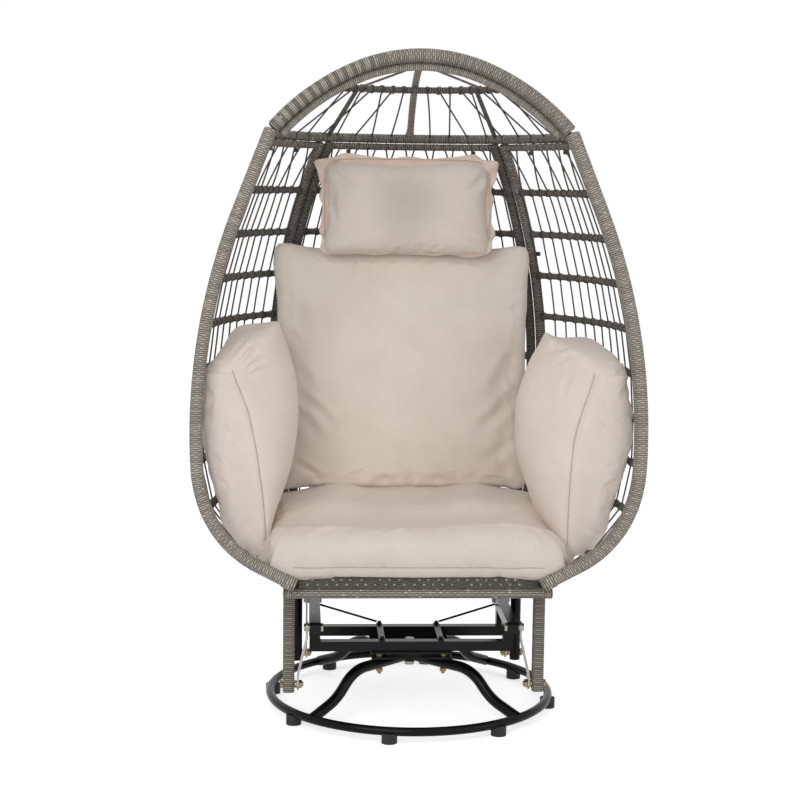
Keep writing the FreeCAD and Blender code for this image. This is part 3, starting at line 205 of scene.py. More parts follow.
def wrapped(name, light, dark, groove, fleck, fleck_share, columns, along=False, banded=None):
    """Flat strand wound round a tube. The UV map counts turns along the tube and runs 0 to 1
    round it. Columns are the lengthwise strands that the turns pass over and under."""
    s = Shader(name)
    length, round_it, _ = s.split(s.add("UVMap"))
    if along:
        phase, cross = s.times(round_it, columns), s.times(length, 1.1)
    else:
        phase, cross = s.plus(length, round_it), s.times(round_it, columns)
    turn, column = s.math("FLOOR", phase), s.math("FLOOR", cross)
    column_edge = s.edge(cross)
    chance = s.add("TexWhiteNoise", 0, {"W": turn}, noise_dimensions="1D")
    cell = s.add("CombineXYZ", 0, {0: turn, 1: column})
    patch = s.add("TexWhiteNoise", 0, {"Vector": cell}, noise_dimensions="2D")
    grain_at = s.add("CombineXYZ", 0, {0: s.times(phase, 5.0), 1: s.times(cross, 0.6)})
    grain = s.noise(grain_at, 2.6, 4.0, 0.7)
    parity = s.math("PINGPONG", s.plus(turn, column), 1.0)
    shade = s.scaled(grain, 0.75, s.times(chance, 0.3))
    shade = s.plus(shade, s.scaled(parity, 0.26, -0.3))
    shade = s.plus(shade, s.times(patch, 0.2))
    if banded:
        band = s.math("PINGPONG", s.math("FLOOR", s.times(length, 0.45)), 1.0)
        reach = s.smooth(length, banded, banded + 14.0, 0.0, 0.85)
        shade = s.plus(shade, s.times(s.math("SUBTRACT", band, 0.5), reach))
    colour = s.mix(s.smooth(shade, 0.05, 0.95), dark, light)
    chosen = s.math("GREATER_THAN", patch, 1.0 - fleck_share)
    shown = s.times(chosen, s.smooth(column_edge, 0.9, 0.6))
    colour = s.mix(s.times(shown, 0.8), colour, fleck)
    # Painted shade: the grooves between turns and the edges of the lengthwise columns are darkened
    # towards the groove colour.
    crease = s.times(s.smooth(column_edge, 0.7, 1.0), 0.32)
    low = s.math("MAXIMUM", s.smooth(s.edge(phase), 0.4, 0.95), crease)
    colour = s.mix(s.times(low, 0.92), colour, groove)
    s.bump(s.math("SUBTRACT", s.times(grain, 0.16), low), 0.0007, 0.85)
    rough = s.scaled(patch, 0.16, 0.5)
    return s.finish(Base_Color=colour, Roughness=rough, Specular_IOR_Level=0.35, Coat_Weight=0.04)


def cord_material():
    s = Shader("dark_cord_strand")
    length, round_it, _ = s.split(s.add("UVMap"))
    # Painted shade: the valleys between the cord's twists are darkened.
    valley = s.smooth(s.edge(s.plus(length, s.times(round_it, 2.0))), 0.6, 1.0)
    grain = s.noise(s.place(), 900.0)
    colour = s.mix(grain, (46, 43, 40), (84, 79, 72))
    colour = s.mix(s.times(valley, 0.6), colour, (28, 26, 24))
    s.bump(s.math("SUBTRACT", grain, valley), 0.0003, 0.7)
    rough = s.scaled(grain, 0.2, 0.36)
    return s.finish(Base_Color=colour, Roughness=rough, Specular_IOR_Level=0.45)


THREADS_PER_METRE = 650.0


def fabric_material(name, light, dark, painted_shade=None):
    """Plain-woven polyester: thread bands that follow each face, slubs and broad soft mottling.
    A painted shade is a spot, its reach and the darker tone painted there, a painted shadow of a
    dished middle."""
    s = Shader(name)
    place = s.place()
    threads = None
    for axis, facing in zip(s.split(place), s.split(s.add("NewGeometry", 1))):
        band = s.math("SINE", s.times(axis, THREADS_PER_METRE * TURN))
        thread = s.times(band, s.math("SUBTRACT", 1.0, s.math("ABSOLUTE", facing)))
        threads = thread if threads is None else s.plus(threads, thread)
    slub = s.noise(s.stretched(place, 3.0), 160.0, 4.0, 0.65)
    shade = s.scaled(slub, 0.5, s.times(s.noise(place, 9.0, 2.0), 0.5))
    colour = s.mix(s.smooth(shade, 0.3, 0.7), dark, light)
    colour = s.mix(s.smooth(threads, 0.4, -1.2, 0.0, 0.12), colour, (150, 132, 116))
    # Painted shade: near the spot the colour darkens towards its tone, a painted shadow of a dished
    # middle.
    if painted_shade:
        spot, reach, deep = painted_shade
        away = s.add("VectorMath", 1, {0: place, 1: spot}, operation="DISTANCE")
        colour = s.mix(s.smooth(away, 0.0, reach, 0.75, 0.0), colour, deep)
    height = s.plus(s.times(threads, 0.12), s.times(s.noise(place, 38.0), 1.2))
    s.bump(s.scaled(slub, 0.3, height), 0.0009, 0.5)
    return s.finish(
        Base_Color=colour,
        Roughness=s.scaled(slub, 0.1, 0.8),
        Specular_IOR_Level=0.2,
        Sheen_Weight=0.12,
        Sheen_Roughness=0.5,
    )


def steel_material():
    s = Shader("gloss_black_steel")
    place = s.place()
    dust = s.noise(place, 34.0, 5.0, 0.7)
    corner = s.smooth(s.add("NewGeometry", 7), 0.53, 0.62)
    colour = s.mix(s.smooth(dust, 0.45, 0.8), (7, 7, 8), (18, 18, 18))
    colour = s.mix(s.times(corner, 0.3), colour, (52, 50, 48))
    s.bump(s.noise(place, 420.0, 2.0), 0.00012, 0.35)
    return s.finish(
        Base_Color=colour,
        Roughness=s.scaled(dust, 0.16, 0.16),
        Specular_IOR_Level=0.12,
        Coat_Weight=0.03,
        Coat_Roughness=0.1,
    )


def plated_material(name, light, dark, tint):
    s = Shader(name)
    place = s.place()
    cloud = s.noise(place, 60.0, 4.0, 0.6)
    scratch = s.noise(s.stretched(place, 14.0), 240.0)
    colour = s.mix(cloud, dark, light)
    colour = s.mix(s.smooth(cloud, 0.5, 0.72, 0.0, 0.5), colour, tint)
    s.bump(scratch, 0.00015, 0.4)
    return s.finish(Base_Color=colour, Roughness=s.scaled(scratch, 0.25, 0.22), Metallic=0.85)


def moulded_material(name, light, dark, base_rough):
    s = Shader(name)
    place = s.place()
    scuff = s.noise(place, 50.0, 5.0, 0.7)
    colour = s.mix(s.smooth(scuff, 0.4, 0.75), dark, light)
    s.bump(s.noise(place, 700.0), 0.0002, 0.5)
    return s.finish(Base_Color=colour, Roughness=s.scaled(scuff, 0.2, base_rough))


HOOP_WRAP, ARCH_WRAP, RIB_WRAP, RAIL_WRAP, POST_WRAP, FRONT_WRAP, APRON_WRAP = [
    wrapped(*look)
    for look in (
        # name, light, dark, painted groove shade, fleck, share of flecks, columns, along, banded
        # from
        ("hoop_wrap", (196, 189, 177), (136, 129, 119), (44, 40, 35), (212, 206, 196), 0.012, 15),
        ("arch_wrap", (184, 177, 165), (122, 115, 106), (40, 36, 32), (196, 190, 180), 0.012, 15,
         False, 96.0),
        ("rib_wrap", (130, 124, 114), (82, 77, 70), (34, 31, 28), (150, 144, 133), 0.02, 6),
        ("rail_wrap", (164, 157, 146), (108, 102, 93), (40, 36, 32), (176, 169, 158), 0.03, 8),
        ("post_wrap", (168, 161, 149), (112, 106, 97), (42, 38, 34), (172, 166, 155), 0.01, 9),
        ("front_rail_wrap", (174, 167, 156), (118, 112, 103), (44, 40, 36), (204, 198, 188), 0.05,
         13, True),
        ("apron_wrap", (146, 140, 130), (94, 89, 82), (38, 34, 31), (164, 158, 148), 0.02, 16,
         True),
    )
]
FLECK_STRAND = moulded_material("light_fleck_strand", (176, 170, 160), (132, 126, 117), 0.5)
CORD = cord_material()
FABRIC = fabric_material("cushion_fabric_weave", (227, 216, 205), (215, 203, 191))
# The arm cushions' fabric is a lighter copy of the cushion fabric: painted light.
ARM_FABRIC = fabric_material("arm_cushion_weave", (233, 221, 211), (222, 209, 198))
# Painted shade on the head pillow: the spot, its reach and the darker tone of a painted shadow in
# its dished middle.
PILLOW_PAINTED_SHADE = ((-0.018, 0.045, 1.112), 0.125, (184, 175, 166))
# The pillow's fabric is a darker, greyer copy of the cushion fabric: painted shade.
PILLOW_FABRIC = fabric_material("pillow_weave", (223, 211, 200), (211, 198, 186), PILLOW_PAINTED_SHADE)
FLANGE_FABRIC = fabric_material("pillow_flange_weave", (232, 213, 199), (222, 200, 186))
THREAD = moulded_material("seam_thread", (204, 187, 172), (180, 162, 146), 0.8)
FINISHES = {
    "black_steel": steel_material(),
    "zinc": plated_material("bright_zinc", (190, 187, 178), (124, 121, 114), (168, 162, 138)),
    "yellow_zinc": plated_material(
        "yellow_zinc_plate", (178, 160, 108), (108, 94, 54), (138, 132, 98)
    ),
    "rubber": moulded_material("moulded_rubber", (44, 43, 42), (22, 22, 22), 0.62),
    "black_plastic": moulded_material("moulded_black_plastic", (46, 44, 42), (24, 23, 22), 0.4),
}


def dress_frame():
    """Better materials on the CAD nodes that stay in view."""
    for part in frame["record"]["subparts"]:
        material = FINISHES.get(part["material_slot"])
        if material:
            for slot in NODES[part["node"]].material_slots:
                slot.material = material


# Lines that the tubes follow

LINE_STEP = 0.002
LEAN = math.radians(5.9)
HOOP_REACH = 0.3165
HOOP_FOOT = np.array([0.283, 0.3304])
HOOP_FOOT_HEADING = math.radians(27.0)
HOOP_FOOT_RUN = 0.065
HOOP_ARCS = ((0.243, 72.45), (0.300, 86.7), (1.287, 111.3))
HOOP_THICK = 0.026
HOOP_DEPTH = 0.048
HOOP_LEVEL = 1.277
CAP_LEVEL = 1.4465
CROWN_RADIUS = 0.358
SHOULDER_RADIUS = 0.493
SHOULDER_TURN = math.radians(22.5)
DECK_BASE = 0.3193
DECK_TOP = 0.3243
SILL = 0.3322
TOP_RAIL_LEVEL = 1.2455
CAP_RAIL_LEVEL = 1.2643
MID_RIB_LEVEL = 1.366
RIB_LEVELS = [1.145 - 0.095 * index for index in range(9)]
CORNER = np.array([0.3131, 0.207])
CORNER_AZIMUTH = math.radians(31.8)
CORNER_RADIUS, CORNER_LEVEL = 1.187, 0.7227
BACK_GAP = 0.0232 * np.array([-math.cos(math.radians(21.5)), math.sin(math.radians(21.5)), 0.0])
BACK_REACH, BACK_RADIUS, BACK_LEVEL = 0.3185, 1.463, 0.710


def leaned(points):
    x, y, z = np.asarray(points, float).T
    along = z * math.sin(LEAN) + y * math.cos(LEAN) - HOOP_REACH
    return np.stack([x, along, z * math.cos(LEAN) - y * math.sin(LEAN)], -1)


def standing(flat, depth=0.0):
    """Points of a drawing in the XZ plane."""
    return np.stack([flat[:, 0], 0 * flat[:, 0] + depth, flat[:, 1]], -1)


def ahead_at(heading):
    return np.array([math.cos(heading), math.sin(heading)])


def left_at(heading):
    return np.array([-math.sin(heading), math.cos(heading)])


def trace(start, heading, moves):
    """Tangent lines and arcs in the XZ plane, as points about 2 mm apart. A move is a line's
    length and None, or an arc's radius and last heading."""
    here = np.array(start, float)
    points = [here]
    for size, turned in moves:
        if turned is None:
            count = max(3, int(size / LINE_STEP))
            points += [here + ahead_at(heading) * at for at in np.linspace(0, size, count)[1:]]
        else:
            centre = here + size * left_at(heading)
            count = max(6, int(abs(size * (turned - heading)) / LINE_STEP))
            headings = np.linspace(heading, turned, count)[1:]
            points += [centre - size * left_at(at) for at in headings]
            heading = turned
        here = points[-1]
    return standing(np.array(points)), heading


def hoop_line(run_in):
    inset = HOOP_THICK / 2
    heading = HOOP_FOOT_HEADING
    start = HOOP_FOOT + left_at(heading) * inset - ahead_at(heading) * run_in
    moves = [(HOOP_FOOT_RUN + run_in, None)]
    moves += [(radius - inset, math.radians(turned)) for radius, turned in HOOP_ARCS]
    line, heading = trace(start, heading, moves)
    rise = (HOOP_LEVEL - line[-1, 2]) / math.sin(heading)
    return np.concatenate([line, trace(line[-1, [0, 2]], heading, [(rise, None)])[0][1:]])


HOOP_CENTRE = hoop_line(0.0)


def hoop_back(height):
    """How far back the rear face of the hoops and the cap's arch is."""
    return height * math.tan(LEAN) - HOOP_REACH + HOOP_DEPTH / 2 / math.cos(LEAN)


def hoop_rear_point(height):
    level = max(height / math.cos(LEAN), HOOP_CENTRE[0, 2])
    across = float(np.interp(level, HOOP_CENTRE[:, 2], HOOP_CENTRE[:, 0]))
    return np.array([across, hoop_back(height), height])


def drop(radius, rise):
    return radius - math.sqrt(radius * radius - rise * rise)


def corner_point(height):
    inset = drop(CORNER_RADIUS, height - CORNER_LEVEL)
    return np.array([*(CORNER - inset * ahead_at(CORNER_AZIMUTH)), height])


def back_corner_point(height):
    return corner_point(height) + BACK_GAP


def back_reach(height):
    return BACK_REACH - drop(BACK_RADIUS, height - BACK_LEVEL)


class Bow:
    """A level arc that bulges outward by sagitta; at(share) is a point and its heading."""

    def __init__(self, start, end, sagitta):
        chord = end - start
        length = math.hypot(chord[0], chord[1])
        outward = np.array([chord[1], -chord[0], 0.0]) / length
        self.radius = (length * length / 4 + sagitta * sagitta) / (2 * sagitta)
        self.centre = (start + end) / 2 - outward * (self.radius - sagitta)
        half = math.asin(length / 2 / self.radius)
        middle = math.atan2(outward[1], outward[0])
        self.first, self.last = middle - half, middle + half

    def at(self, share):
        angle = self.first + share * (self.last - self.first)
        spoke = np.array([math.cos(angle), math.sin(angle), 0.0])
        return self.centre + spoke * self.radius, np.array([-spoke[1], spoke[0], 0.0])

    def line(self, trim_start=0.0, trim_end=0.0):
        length = self.radius * (self.last - self.first)
        shares = np.linspace(trim_start / length, 1 - trim_end / length, 60)
        return np.array([self.at(share)[0] for share in shares])


def side_bow(height):
    start, end = hoop_rear_point(height), corner_point(height)
    return Bow(start, end, 0.085 * np.linalg.norm(end - start))


def back_bow(height):
    end = back_corner_point(height)
    return Bow(end, end * MIRROR, back_reach(height) - end[1])


def cap_line(inset, depth=0.0, above=0.0025):
    """The cap's arch: a shoulder, the crown and the other shoulder, from right to left."""
    crown, shoulder = CROWN_RADIUS - inset, SHOULDER_RADIUS - inset
    turn = SHOULDER_TURN

    def spokes(*angles):
        angles = np.linspace(*angles)
        return np.stack([np.sin(angles), np.cos(angles)], -1)

    centre = np.array([0, CAP_LEVEL - CROWN_RADIUS])
    low_centre = centre + np.array([math.sin(turn), math.cos(turn)]) * (crown - shoulder)
    last = math.acos((HOOP_LEVEL + above - low_centre[1]) / shoulder)
    right = low_centre + spokes(last, turn, 80) * shoulder
    top = centre + spokes(turn, -turn, 120)[1:-1] * crown
    return leaned(standing(np.concatenate([right, top, right[::-1] * (-1, 1)]), depth))


def level_arc(middle, start, end, radius, count):
    first = math.atan2(start[1] - middle[1], start[0] - middle[0])
    last = math.atan2(end[1] - middle[1], end[0] - middle[0])
    if abs(last - first) > math.pi:
        last += TURN if last < first else -TURN
    angles = np.linspace(first, last, count)
    across, along = middle[0] + radius * np.cos(angles), middle[1] + radius * np.sin(angles)
    return np.stack([across, along, 0 * angles + start[2]], -1)


def level_bow(front, corner, back):
    """A level bow in three arcs from the right front round the back to the left front."""
    sag = back[1] - corner[1]
    radius = (corner[0] ** 2 + sag**2) / (2 * sag)
    centre = np.array([0, back[1] - radius, back[2]])
    outward = (corner - centre) / radius
    offset = front - corner
    side_radius = -(offset[0] ** 2 + offset[1] ** 2) / (2 * (offset @ outward))
    side = level_arc(corner - outward * side_radius, front, corner, abs(side_radius), 90)
    rear = level_arc(centre, corner, corner * MIRROR, radius, 160)
    return np.concatenate([side[:-1], rear, (side * MIRROR)[::-1][1:]])


def cap_rail_line():
    front = hoop_rear_point(TOP_RAIL_LEVEL) + np.array([-0.006, 0.014, 0])
    corner = corner_point(TOP_RAIL_LEVEL) + np.array([-0.010, 0.002, 0])
    back = np.array([0, back_reach(TOP_RAIL_LEVEL), 0])
    for spot in (front, corner, back):
        spot[2] = CAP_RAIL_LEVEL
    return level_bow(front, corner, back)


def mid_rib_line():
    level = MID_RIB_LEVEL
    arch = cap_line(HOOP_THICK / 2)
    right = arch[: len(arch) // 2]
    across = float(np.interp(level, right[:, 2], right[:, 0]))
    front = np.array([across, hoop_back(level), level])
    return level_bow(front, np.array([0.112, 0.008, level]), np.array([0, 0.045, level]))


# Tubes


def resampled(line, step=None, count=0):
    """A line's points again, evenly spaced, and how far along it each is. With a count in place
    of a step, the line is closed."""
    lengths = np.concatenate([[0], np.cumsum(np.linalg.norm(np.diff(line, axis=0), axis=1))])
    count = count or max(4, int(round(lengths[-1] / step)) + 1)
    at = np.linspace(0, lengths[-1], count, endpoint=bool(step))
    return np.stack([np.interp(at, lengths, column) for column in line.T], -1), at


def around(count, start=0.0):
    angles = (np.arange(count) + start) * TURN / count
    return np.stack([np.cos(angles), np.sin(angles)], -1)


def circle(radius, count):
    """Points and normals of a circle."""
    normal = around(count)
    return normal * radius, normal


def squared(width, corner, count=32):
    """Points and normals of a square with rounded corners."""
    normal = around(count, 0.5)
    inner = width / 2 - corner
    return np.clip(normal * width, -inner, inner) + normal * corner, normal


def stadium(depth, thick, count=36):
    """Points and normals of a flat-sided oval, depth by thick."""
    radius, flat = thick / 2, depth - thick
    half = flat + math.pi * radius
    at = np.arange(count) * 2 * half / count
    side = np.where(at < half, 1.0, -1.0)[:, None]
    at = at % half
    angle = math.pi / 2 - np.maximum(at - flat, 0) / radius
    normal = np.stack([np.cos(angle), np.sin(angle)], -1) * side
    middle = np.stack([np.minimum(at, flat) - flat / 2, 0 * at], -1) * side
    return middle + normal * radius, normal


def drawn_in(at, radius, last):
    """How far a tube draws in towards its ends, as the last turns of a wrap do."""
    out = np.zeros(len(at))
    if radius:
        for away in (at, at[-1] - at)[: 1 + last]:
            near = np.clip((radius - away) / radius, 0, 1)
            out += radius * (1 - np.sqrt(np.clip(1 - near**2, 0, 1)))
    return out * 0.92


def put(items, name, values, kind=np.float32):
    items.foreach_set(name, np.asarray(values).astype(kind).ravel())


def taken(items, name, width=3, kind=np.float32):
    out = np.empty(len(items) * width, kind)
    items.foreach_get(name, out)
    return out.reshape(-1, width)


WRAP_PITCH = 0.0045
WRAP_RIDGE = 0.00045
FLARE_REACH = 0.013


class Builder:
    """Collects swept tubes into one mesh piece."""

    def __init__(self):
        self.points, self.faces, self.uvs, self.materials = [], [], [], []
        self.caps, self.slots, self.count = [], [], 0

    def sweep(self, line, across, section, material, pitch=WRAP_PITCH, ridge=WRAP_RIDGE,
              per_turn=4, ends=0.0, last=True, lengthwise=0, flare=0.0, seed=0):
        """Carries a section along a line. Ridges wind round it once per pitch, or run along it.
        Ends is the radius by which the tube draws in at its ends, or at the first alone."""
        line, at = resampled(np.asarray(line, float), pitch / per_turn)
        shape, normal = section
        tangent = unit(np.gradient(line, axis=0))
        side = np.broadcast_to(np.asarray(across, float), line.shape)
        side = unit(side - (side * tangent).sum(1, keepdims=True) * tangent)
        other = np.cross(tangent, side)
        phase = np.arange(len(shape)) / len(shape)
        if lengthwise:
            phase = np.broadcast_to(phase * lengthwise, (len(at), len(shape)))
        else:
            phase = at[:, None] / pitch + phase
        wave = np.abs(np.sin(math.pi * phase)) ** 0.75
        chance = np.random.default_rng(seed).random(int(phase.max()) + 3)
        lift = ridge * (wave - 0.75) + ridge * 0.5 * (chance[np.floor(phase).astype(int)] - 0.5)
        offset = lift - drawn_in(at, ends, last)[:, None]
        wide, deep = (shape[:, axis] + normal[:, axis] * offset for axis in (0, 1))
        if flare:
            near = [np.exp(-((away / FLARE_REACH) ** 2)) for away in (at, at[-1] - at)]
            wide *= 1 + np.where(wide < 0, 1, 0.25) * flare * sum(near)[:, None]
        points = line[:, None] + side[:, None] * wide[..., None] + other[:, None] * deep[..., None]
        self.add_rings(points, at / pitch, material)
        return self

    def add_rings(self, points, along, material, closed=True):
        rows, size = points.shape[:2]
        index = np.arange(rows * size).reshape(rows, size) + self.count
        following = np.roll(index, -1, axis=1)
        quads = np.stack([index[:-1], following[:-1], following[1:], index[1:]], -1)
        v0 = np.arange(size) / size
        v1 = v0 + 1 / size
        low, high = along[:-1, None], along[1:, None]
        corners = ((low, v0), (low, v1), (high, v1), (high, v0))
        uv = np.stack([np.stack(np.broadcast_arrays(*corner), -1) for corner in corners], 2)
        if material not in self.materials:
            self.materials.append(material)
        slot = self.materials.index(material)
        self.points.append(points.reshape(-1, 3))
        self.faces.append(quads.reshape(-1, 4))
        self.uvs.append(uv.reshape(-1, 2))
        self.slots.append(np.full(len(self.faces[-1]), slot))
        if closed:
            self.caps += [(index[0][::-1], slot, along[0]), (index[-1], slot, along[-1])]
        self.count += rows * size

    def piece(self, name, slot, *nodes):
        """The mesh as a piece that rides on the seat and stands for the nodes."""
        corners = [face.reshape(-1) for face in self.faces]
        totals = [np.full(len(face), 4) for face in self.faces]
        slots, uvs = list(self.slots), list(self.uvs)
        for ring, index, along in self.caps:
            share = np.arange(len(ring)) / len(ring)
            corners.append(ring)
            totals.append([len(ring)])
            slots.append([index])
            uvs.append(np.stack([0 * share + along, share], -1))
        points, corners = np.concatenate(self.points), np.concatenate(corners)
        totals = np.concatenate(totals)
        mesh = bpy.data.meshes.new(name)
        mesh.vertices.add(len(points))
        put(mesh.vertices, "co", points)
        mesh.loops.add(len(corners))
        put(mesh.loops, "vertex_index", corners, np.int32)
        mesh.polygons.add(len(totals))
        put(mesh.polygons, "loop_start", np.cumsum(totals) - totals, np.int32)
        put(mesh.polygons, "loop_total", totals, np.int32)
        put(mesh.polygons, "material_index", np.concatenate(slots), np.int32)
        mesh.update(calc_edges=True)
        put(mesh.polygons, "use_smooth", np.ones(len(totals)), bool)
        put(mesh.uv_layers.new(name="UVMap").data, "uv", np.concatenate(uvs))
        mesh.validate()
        for material in self.materials:
            mesh.materials.append(material)
        piece = linked(name, mesh)
        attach(piece, SEAT)
        if nodes:
            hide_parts(*nodes)
        return piece


HOOP_AXIS = leaned(np.array([[0, 1.0, 0]]))[0] - leaned(np.array([[0, 0.0, 0]]))[0]
BAND = stadium(HOOP_DEPTH, HOOP_THICK)
BAND_END = 0.0045
FOOT_RUN_IN = 0.022
COLLAR = (BAND[0] * 1.03 + BAND[1] * 0.0012, BAND[1])
COLLAR_START, COLLAR_END = 0.004, 0.03
ARCH_TUBE = circle(0.0086, 18)
ARCH_TUBE_INSET, ARCH_TUBE_DEPTH, ARCH_TUBE_FOOT = HOOP_THICK + 0.0074, 0.014, -0.006
PANEL_TUBE = circle(0.0107, 22)
PANEL_TUBE_END = 0.004
PANEL_TUBE_TOP = 1.2532
RAIL = circle(0.0075, 16)
RIB = circle(0.0072, 12)
RIB_PITCH = 0.005
BACK_RAIL_TRIM = 0.006


def build_hoops():
    line = leaned(hoop_line(FOOT_RUN_IN))
    for seed, (name, side) in enumerate(SIDES, 1):
        band = Builder().sweep(line * side, HOOP_AXIS, BAND, HOOP_WRAP, ends=BAND_END, seed=seed)
        first, at = resampled(line * side, 0.001)
        foot = first[(at > COLLAR_START) & (at < COLLAR_END)]
        band.sweep(foot, HOOP_AXIS, COLLAR, HOOP_WRAP, 0.0052, 0.0008, ends=0.004, seed=seed + 7)
        band.piece("wrapped_hoop_" + name, "woven_grey", "hoop_" + name)


def build_arch():
    line = cap_line(HOOP_THICK / 2)
    arch = Builder().sweep(line, HOOP_AXIS, BAND, ARCH_WRAP, ends=BAND_END, seed=5)
    arch.piece("wrapped_cap_arch", "woven_grey", "cap_arch")
    line = cap_line(ARCH_TUBE_INSET, ARCH_TUBE_DEPTH, ARCH_TUBE_FOOT)
    inner = Builder().sweep(line, HOOP_AXIS, ARCH_TUBE, HOOP_WRAP, 0.0042, seed=6)
    inner.piece("wrapped_arch_inner_tube", "woven_grey", "cap_arch_inner_tube")


def panel_tube(builder, point_at, side, material, seed):
    line = np.array([point_at(z) for z in np.linspace(DECK_BASE, PANEL_TUBE_TOP, 200)]) * side
    builder.sweep(line, (0, 1, 0), PANEL_TUBE, material, seed=seed, ends=PANEL_TUBE_END)


def rib_rows(bow_at, trim, side, flare, seed):
    ribs = Builder()
    for number, height in enumerate(RIB_LEVELS, seed):
        line = bow_at(height).line(trim, 0.004) * side
        ribs.sweep(line, UPRIGHT, RIB, RIB_WRAP, RIB_PITCH, per_turn=3, flare=flare, seed=number)
    return ribs


def build_side_panels():
    rails, sills, tubes = Builder(), Builder(), Builder()
    for flip, (name, side) in enumerate(SIDES):
        line = side_bow(TOP_RAIL_LEVEL).line() * side
        rails.sweep(line, UPRIGHT, RAIL, RAIL_WRAP, seed=11 + flip)
        line = side_bow(SILL).line(0.006, 0.008) * side
        sills.sweep(line, UPRIGHT, RIB, RIB_WRAP, RIB_PITCH, seed=13 + flip)
        panel_tube(tubes, corner_point, side, RAIL_WRAP, 15 + flip)
        ribs = rib_rows(side_bow, -0.003, side, 0.75, 20)
        ribs.piece("wrapped_side_ribs_" + name, "woven_dark", "side_ribs_" + name)
    rails.piece("wrapped_side_top_rails", "woven_dark", "side_top_rails")
    sills.piece("wrapped_side_sills", "woven_dark", "side_bottom_rails")
    tubes.piece("wrapped_side_rear_tubes", "woven_dark", "side_rear_tubes")


def build_back_panel():
    tubes = Builder()
    for seed, (_, side) in enumerate(SIDES, 31):
        panel_tube(tubes, back_corner_point, side, RIB_WRAP, seed)
    tubes.piece("wrapped_back_side_tubes", "woven_dark", "back_side_tubes")
    line = back_bow(TOP_RAIL_LEVEL).line(BACK_RAIL_TRIM, BACK_RAIL_TRIM)
    top = Builder().sweep(line, UPRIGHT, RAIL, RAIL_WRAP, seed=33)
    top.piece("wrapped_back_top_rail", "woven_dark", "back_top_rail")
    line = back_bow(SILL).line(BACK_RAIL_TRIM, BACK_RAIL_TRIM)
    sill = Builder().sweep(line, UPRIGHT, RIB, RIB_WRAP, RIB_PITCH, seed=34)
    sill.piece("wrapped_back_sill", "woven_dark", "back_bottom_rail")
    ribs = rib_rows(back_bow, 0.004, 1.0, 0.6, 40)
    ribs.piece("wrapped_back_ribs", "woven_dark", "back_ribs")


# Strands

STRAND = circle(0.0019, 7)
STRAND_DRIFT = 0.0006
RIB_WIND, RAIL_WIND = 0.0081, 0.0078
WIND_STEP = 0.0041
SLACK = 0.0022
PANEL_CORDS, PANEL_MARGIN = 12, 0.035
BACK_CORDS, BACK_MARGIN = 18, 0.03


def wind(builder, centre, axis, radius, turns, seed, thick=0.0014):
    """Cord wound round a tube at a crossing."""
    start = np.random.default_rng(seed).random() * TURN
    side = unit(np.cross(axis, (0.3, 0.2, 0.93)))
    other = np.cross(axis, side)
    angles = np.linspace(0, turns * TURN, int(turns * 11))
    slide = (angles / TURN - turns / 2) * WIND_STEP
    points = (
        centre
        + axis * slide[:, None]
        + side * (radius * np.cos(angles + start))[:, None]
        + other * (radius * np.sin(angles + start))[:, None]
    )
    builder.sweep(points, axis, circle(thick, 6), CORD, 0.0062, 0.0001, per_turn=1.7)


def strand(builder, start, end, bow, seed):
    """One cord span, with a little slack sideways."""
    share = np.linspace(0, 1, 9)[:, None]
    drift = np.random.default_rng(seed).normal(size=3) * STRAND_DRIFT
    points = start + (end - start) * share + (drift + bow) * (4 * share * (1 - share))
    builder.sweep(points, (0.6, 0.5, 0.1), STRAND, CORD, 0.02, 0.0, per_turn=1.5)


def panel_strands(name, node, bow_at, count, margin, side):
    """Straight cords down a panel, crossed in pairs in the top row and wound round each rib."""
    cords = Builder()
    bows = [bow_at(level) for level in (TOP_RAIL_LEVEL, *RIB_LEVELS, SILL)]
    rows = len(bows) - 1
    shares = margin + (1 - 2 * margin) * np.arange(count) / (count - 1)
    for row in range(rows):
        for index in range(count):
            target = index if row else min(count - 1, index ^ 1)
            start = bows[row].at(shares[index])[0]
            end, heading = bows[row + 1].at(shares[target])
            slack = 0.0 if row else SLACK if index % 2 else -SLACK
            out = np.array([heading[1], -heading[0], 0.0]) * slack
            strand(cords, start * side, end * side, out * side, row * 100 + index)
            if row < rows - 1:
                wind(cords, end * side, unit(heading * side), RIB_WIND, 1.6, row * 50 + index)
        if row == 0:
            for index, share in enumerate(shares, 900):
                spot, heading = bows[0].at(share)
                wind(cords, spot * side, unit(heading * side), RAIL_WIND, 0.9, index, 0.0011)
    cords.piece(name, "dark_cord", node)


def build_strands():
    for name, side in SIDES:
        names = ("side_cords_" + name, "side_strands_" + name)
        panel_strands(*names, side_bow, PANEL_CORDS, PANEL_MARGIN, side)
    panel_strands("back_cords", "back_strands", back_bow, BACK_CORDS, BACK_MARGIN, 1.0)


def line_at(line, share):
    """A point on a line and its heading there, by share of its length."""
    points = resampled(line, 0.001)[0]
    index = min(max(int(round(share * (len(points) - 1))), 1), len(points) - 2)
    return points[index], unit(points[index + 1] - points[index - 1])


STRUT_FEET = ((358.0, 84.0), (485.0, 85.0))
SPOKE_BRIDGE = np.array([0, 0.049, MID_RIB_LEVEL + 0.0154])
SPOKE_BRIDGE_SHARE = 0.46
SIDE_SPOKES = ((0.27, 0.3125), (0.73, 0.6875))
CAP_CORDS, CAP_CORD_STEP = 11, 1 / 24


